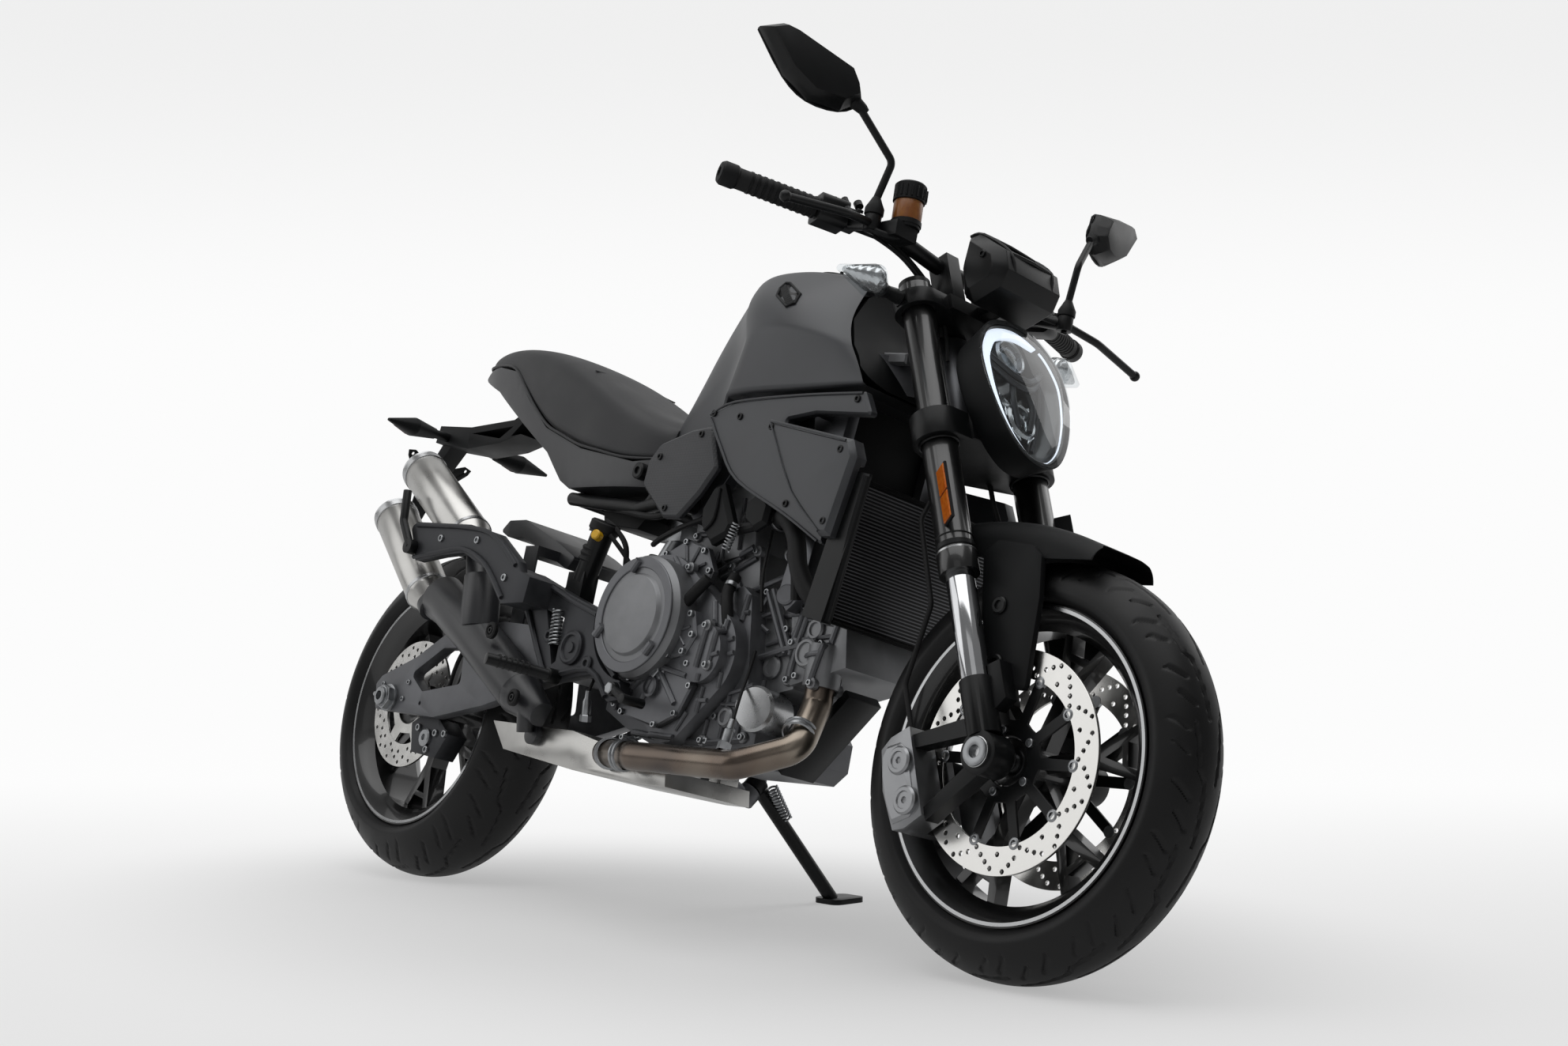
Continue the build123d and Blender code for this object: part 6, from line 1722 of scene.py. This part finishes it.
class RoadsterDrive(bpy.types.Operator):
    """Chain links, hanger ribs, rear fasteners and hoses"""

    bl_idname = "roadster.drive"
    bl_label = "Drive and Rear Fittings"

    def execute(self, context):
        (rear, big), (front, small) = SPROCKETS
        span = front - rear
        lean = math.atan2(span.y, span.x)
        tilt = math.asin((big - small) / span.length)
        path = []
        top, low = lean + math.pi / 2 - tilt, lean - math.pi / 2 + tilt
        for a in np.linspace(top, low + 2 * math.pi, 60):
            path.append(rear + Vector((math.cos(a), math.sin(a))) * big)
        for a in np.linspace(low + 2 * math.pi, top + 2 * math.pi, 30):
            path.append(front + Vector((math.cos(a), math.sin(a))) * small)
        path.append(path[0])
        marks = np.cumsum([0] + [(b - a).length for a, b in zip(path, path[1:])])
        count = int(marks[-1] / CHAIN_PITCH) // 2 * 2
        wanted = np.linspace(0, marks[-1], count, endpoint=False)
        xs = np.interp(wanted, marks, [p.x for p in path])
        zs = np.interp(wanted, marks, [p.y for p in path])
        spots = list(zip(xs, zs))
        chain = bmesh.new()
        links(chain, spots, ((99.8, 116.2), (102.4, 113.6)), 7.0)
        for x, z in spots:
            revolve(chain, [(5, -9.6), (5, 9.6)], (x, 108, z), (0, 1, 0), 8)
        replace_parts(add_piece("Chain_Links", chain, BIKE, "zinc_steel", "chassis"), "chain")

        cast, bright, black = bmesh.new(), bmesh.new(), bmesh.new()
        cap = [(30, 0), (30, 5), (26, 8), (22, 8), (20, 4), (10, 4), (9, 7), (0.4, 7)]
        for side in (-1, 1):
            revolve(cast, cap, (-165, side * 172, 420), (0, side, 0), 36)
        for points in (
            [(-318, -174, 548), (-200, -174, 505), (-112, -174, 478)],
            [(-100, -174, 474), (-82, -174, 416), (-30, -174, 374)],
            [(-318, -174, 490), (-238, -174, 384), (-206, -174, 370)],
            [(-206, -174, 370), (-104, -174, 384), (-46, -174, 340)],
        ):
            tube(cast, points, 5, 8, 3)
        for points in (
            [(-650, -227, 634), (-471, -227, 624), (-383, -227, 604), (-304, -227, 552)],
            [(-640, -227, 572), (-553, -227, 580), (-477, -227, 584), (-400, -227, 556), (-326, -227, 494)],
        ):
            tube(cast, points, 4.5, 8, 4)
        for x, z in ((-20, 352), (-114, 394), (-300, 522), (-236, 440)):
            revolve(cast, [(13, 0), (13, 4), (10, 6), (6, 6), (5, 2), (0.4, 2)], (x, -172, z), (0, -1, 0), 24)
        add_piece("Hanger_Ribs", cast, BIKE, "cast_aluminium", "chassis")
        for side in (-1, 1):
            hex_nut(bright, (-746, side * 152, 318), (0, side, 0), 24, 12)
            collar = [(17, 12), (17, 18), (14, 20), (9, 20), (8.5, 8)]
            revolve(bright, collar, (-746, side * 152, 318), (0, side, 0), 30)
            for x, z in ((-776, 344), (-700, 318), (-690, 350), (-776, 306)):
                bolt(bright, (x, side * 146, z), (0, side, 0), 5, 4)
            tube(bright, [(-822, side * 134, 326), (-800, side * 134, 325)], 5, 8, 1)
        for x, z in ((-648, 590), (-330, 530), (-560, 606), (-440, 600)):
            bolt(bright, (x, -226, z), (0, -1, 0), 7, 4)
        hex_nut(bright, (-20, -186, 352), (0, -1, 0), 10, 6)
        revolve(bright, [(8, 0), (8, 60), (5, 64), (0.3, 64)], (-232, -134, 566), (0.02, 0, -1), 18)
        for x, z in ((-660, 270), (-600, 262), (-620, 230), (-570, 262)):
            bolt(bright, (x, -122, z), (0, -1, 0), 7, 5)
        cover = [(17, 0), (17, 5), (14, 7), (6, 7), (5, 3), (0.4, 3)]
        revolve(bright, cover, (-630, -122, 252), (0, -1, 0), 26)
        add_piece("Rear_Fasteners", bright, BIKE, "zinc_steel", "chassis")
        tube(black, [(-196, -134, 655), (-170, -128, 640), (-146, -118, 610), (-150, -106, 560)], 5, 8, 6)
        hose = [
            (-224, -130, 560), (-280, -122, 540), (-360, -116, 500), (-470, -114, 470), (-580, -114, 420),
            (-610, -112, 318),
        ]
        tube(black, hose, 4, 8, 8)
        bellows = [(20.4, 0), (23, 3), (20.6, 9), (23, 14), (20.6, 19), (23, 24), (20.4, 28)]
        revolve(black, bellows, (-219, -134, 580), (0.3, 0, 0.95), 28)
        lid = [(25.2, 0), (27, 2), (27, 16), (24, 19), (0.4, 19)]
        revolve(black, lid, (-199, -134, 634), (0.3, 0, 0.95), 32)
        for side in (-1, 1):
            for k in range(6):
                at = Vector((-206, side * 226, 371)) + Vector((-2.9, side * 10, 0.3)) * k
                ring = [(10, -2), (12, -1), (12, 1), (10, 2)]
                revolve(black, ring, at, (-0.28, side, 0.03), 20, closed=True)
        for side in (-1, 1):
            loom = [(-250, 100, 690), (-170, 112, 676), (-60, 126, 662), (20, 122, 690)]
            tube(black, [(x, side * y, z) for x, y, z in loom], 6, 10, 6)
        add_piece("Rear_Hoses_And_Rubbers", black, BIKE, "moulded_rubber", "chassis")
        plug = bmesh.new()
        revolve(plug, [(9, 0), (9, 12), (7, 14), (0.3, 14)], (-186, -150, 622), (0.3, -0.9, 0.1), 20)
        add_piece("Master_Cylinder_Plug", plug, BIKE, "yellow_nylon", "chassis")
        return {"FINISHED"}


class RoadsterIndicators(bpy.types.Operator):
    """Stalks, reflectors and lenses of the indicators"""

    bl_idname = "roadster.indicators"
    bl_label = "Indicators"

    def execute(self, context):
        stalks, silver = bmesh.new(), bmesh.new()
        unit = circle(0, 0, 1, 20)
        for side in (-1, 1):
            stalk = [(9, 0), (11, 3), (10, 14), (9, 26), (11, 34), (14, 42), (10, 48)]
            revolve(stalks, stalk, (0, side * 146, 748), (0, side, 0), 24)
            rows = []
            for out, wide, tall, ahead in (
                (186, 9, 8, 2), (208, 21, 17, 12), (222, 25, 20, 12), (250, 15, 12, 8), (272, 5, 4, 4),
            ):
                ring = [(ahead + y * wide * 0.92, side * out, 748 + z * tall * 1.08) for y, z in unit]
                rows.append([silver.verts.new(spot) for spot in ring])
            grid_faces(silver, rows, False, True)
            silver.faces.new(rows[0])
            silver.faces.new(rows[-1])
        add_piece("Front_Indicator_Stalks", stalks, FORK, "moulded_nylon", "steering")
        add_piece("Front_Indicator_Reflectors", silver, FORK, "light_reflector", "steering")
        lenses = bmesh.new()
        for side in (-1, 1):
            rows = []
            for out, wide, tall in (
                (104, 20, 15), (128, 26.6, 19.6), (140, 25, 18.4), (160, 18, 13), (176, 12, 9),
            ):
                share = (out - 76) / 122
                x, z = -918 + 22 * share, 876 - 9 * share
                arc = np.linspace(2.2, 4.1, 8)
                section = [(x - 1.5 + wide * math.cos(a), side * out, z + tall * math.sin(a)) for a in arc]
                rows.append([lenses.verts.new(spot) for spot in section])
            grid_faces(lenses, rows, False, False)
        give_wall(add_piece("Rear_Indicator_Lenses", lenses, BIKE, "red_acrylic", "chassis"), 2)
        return {"FINISHED"}


class RoadsterPanel(bpy.types.Panel):
    """Buttons for the machine's pieces"""

    bl_idname = "ROADSTER_PT_panel"
    bl_label = "Roadster"
    bl_space_type = "VIEW_3D"
    bl_region_type = "UI"
    bl_category = "Roadster"

    def draw(self, context):
        for name in RoadsterSettings.__annotations__:
            self.layout.prop(context.scene.roadster, name)
        for operator in OPERATORS:
            self.layout.operator(operator.bl_idname)


OPERATORS = (
    RoadsterSolids, RoadsterTyres, RoadsterBrakes, RoadsterRims, RoadsterTank, RoadsterSaddle,
    RoadsterRadiator, RoadsterIntakes, RoadsterEngine, RoadsterCastings, RoadsterExhaust, RoadsterFork,
    RoadsterCockpit, RoadsterDrive, RoadsterIndicators, RoadsterLamp, RoadsterStage,
)
CLASSES = (RoadsterSettings, *OPERATORS, RoadsterPanel)


def register():
    """Registers the settings, operators and panel."""
    for cls in CLASSES:
        bpy.utils.register_class(cls)
    bpy.types.Scene.roadster = PointerProperty(type=RoadsterSettings)


def unregister():
    """Takes them away again."""
    del bpy.types.Scene.roadster
    for cls in reversed(CLASSES):
        bpy.utils.unregister_class(cls)


def main():
    """Dresses the machine with every operator in turn."""
    register()
    for operator in OPERATORS:
        group, action = operator.bl_idname.split(".")
        getattr(getattr(bpy.ops, group), action)()


if __name__ == "__main__":
    main()
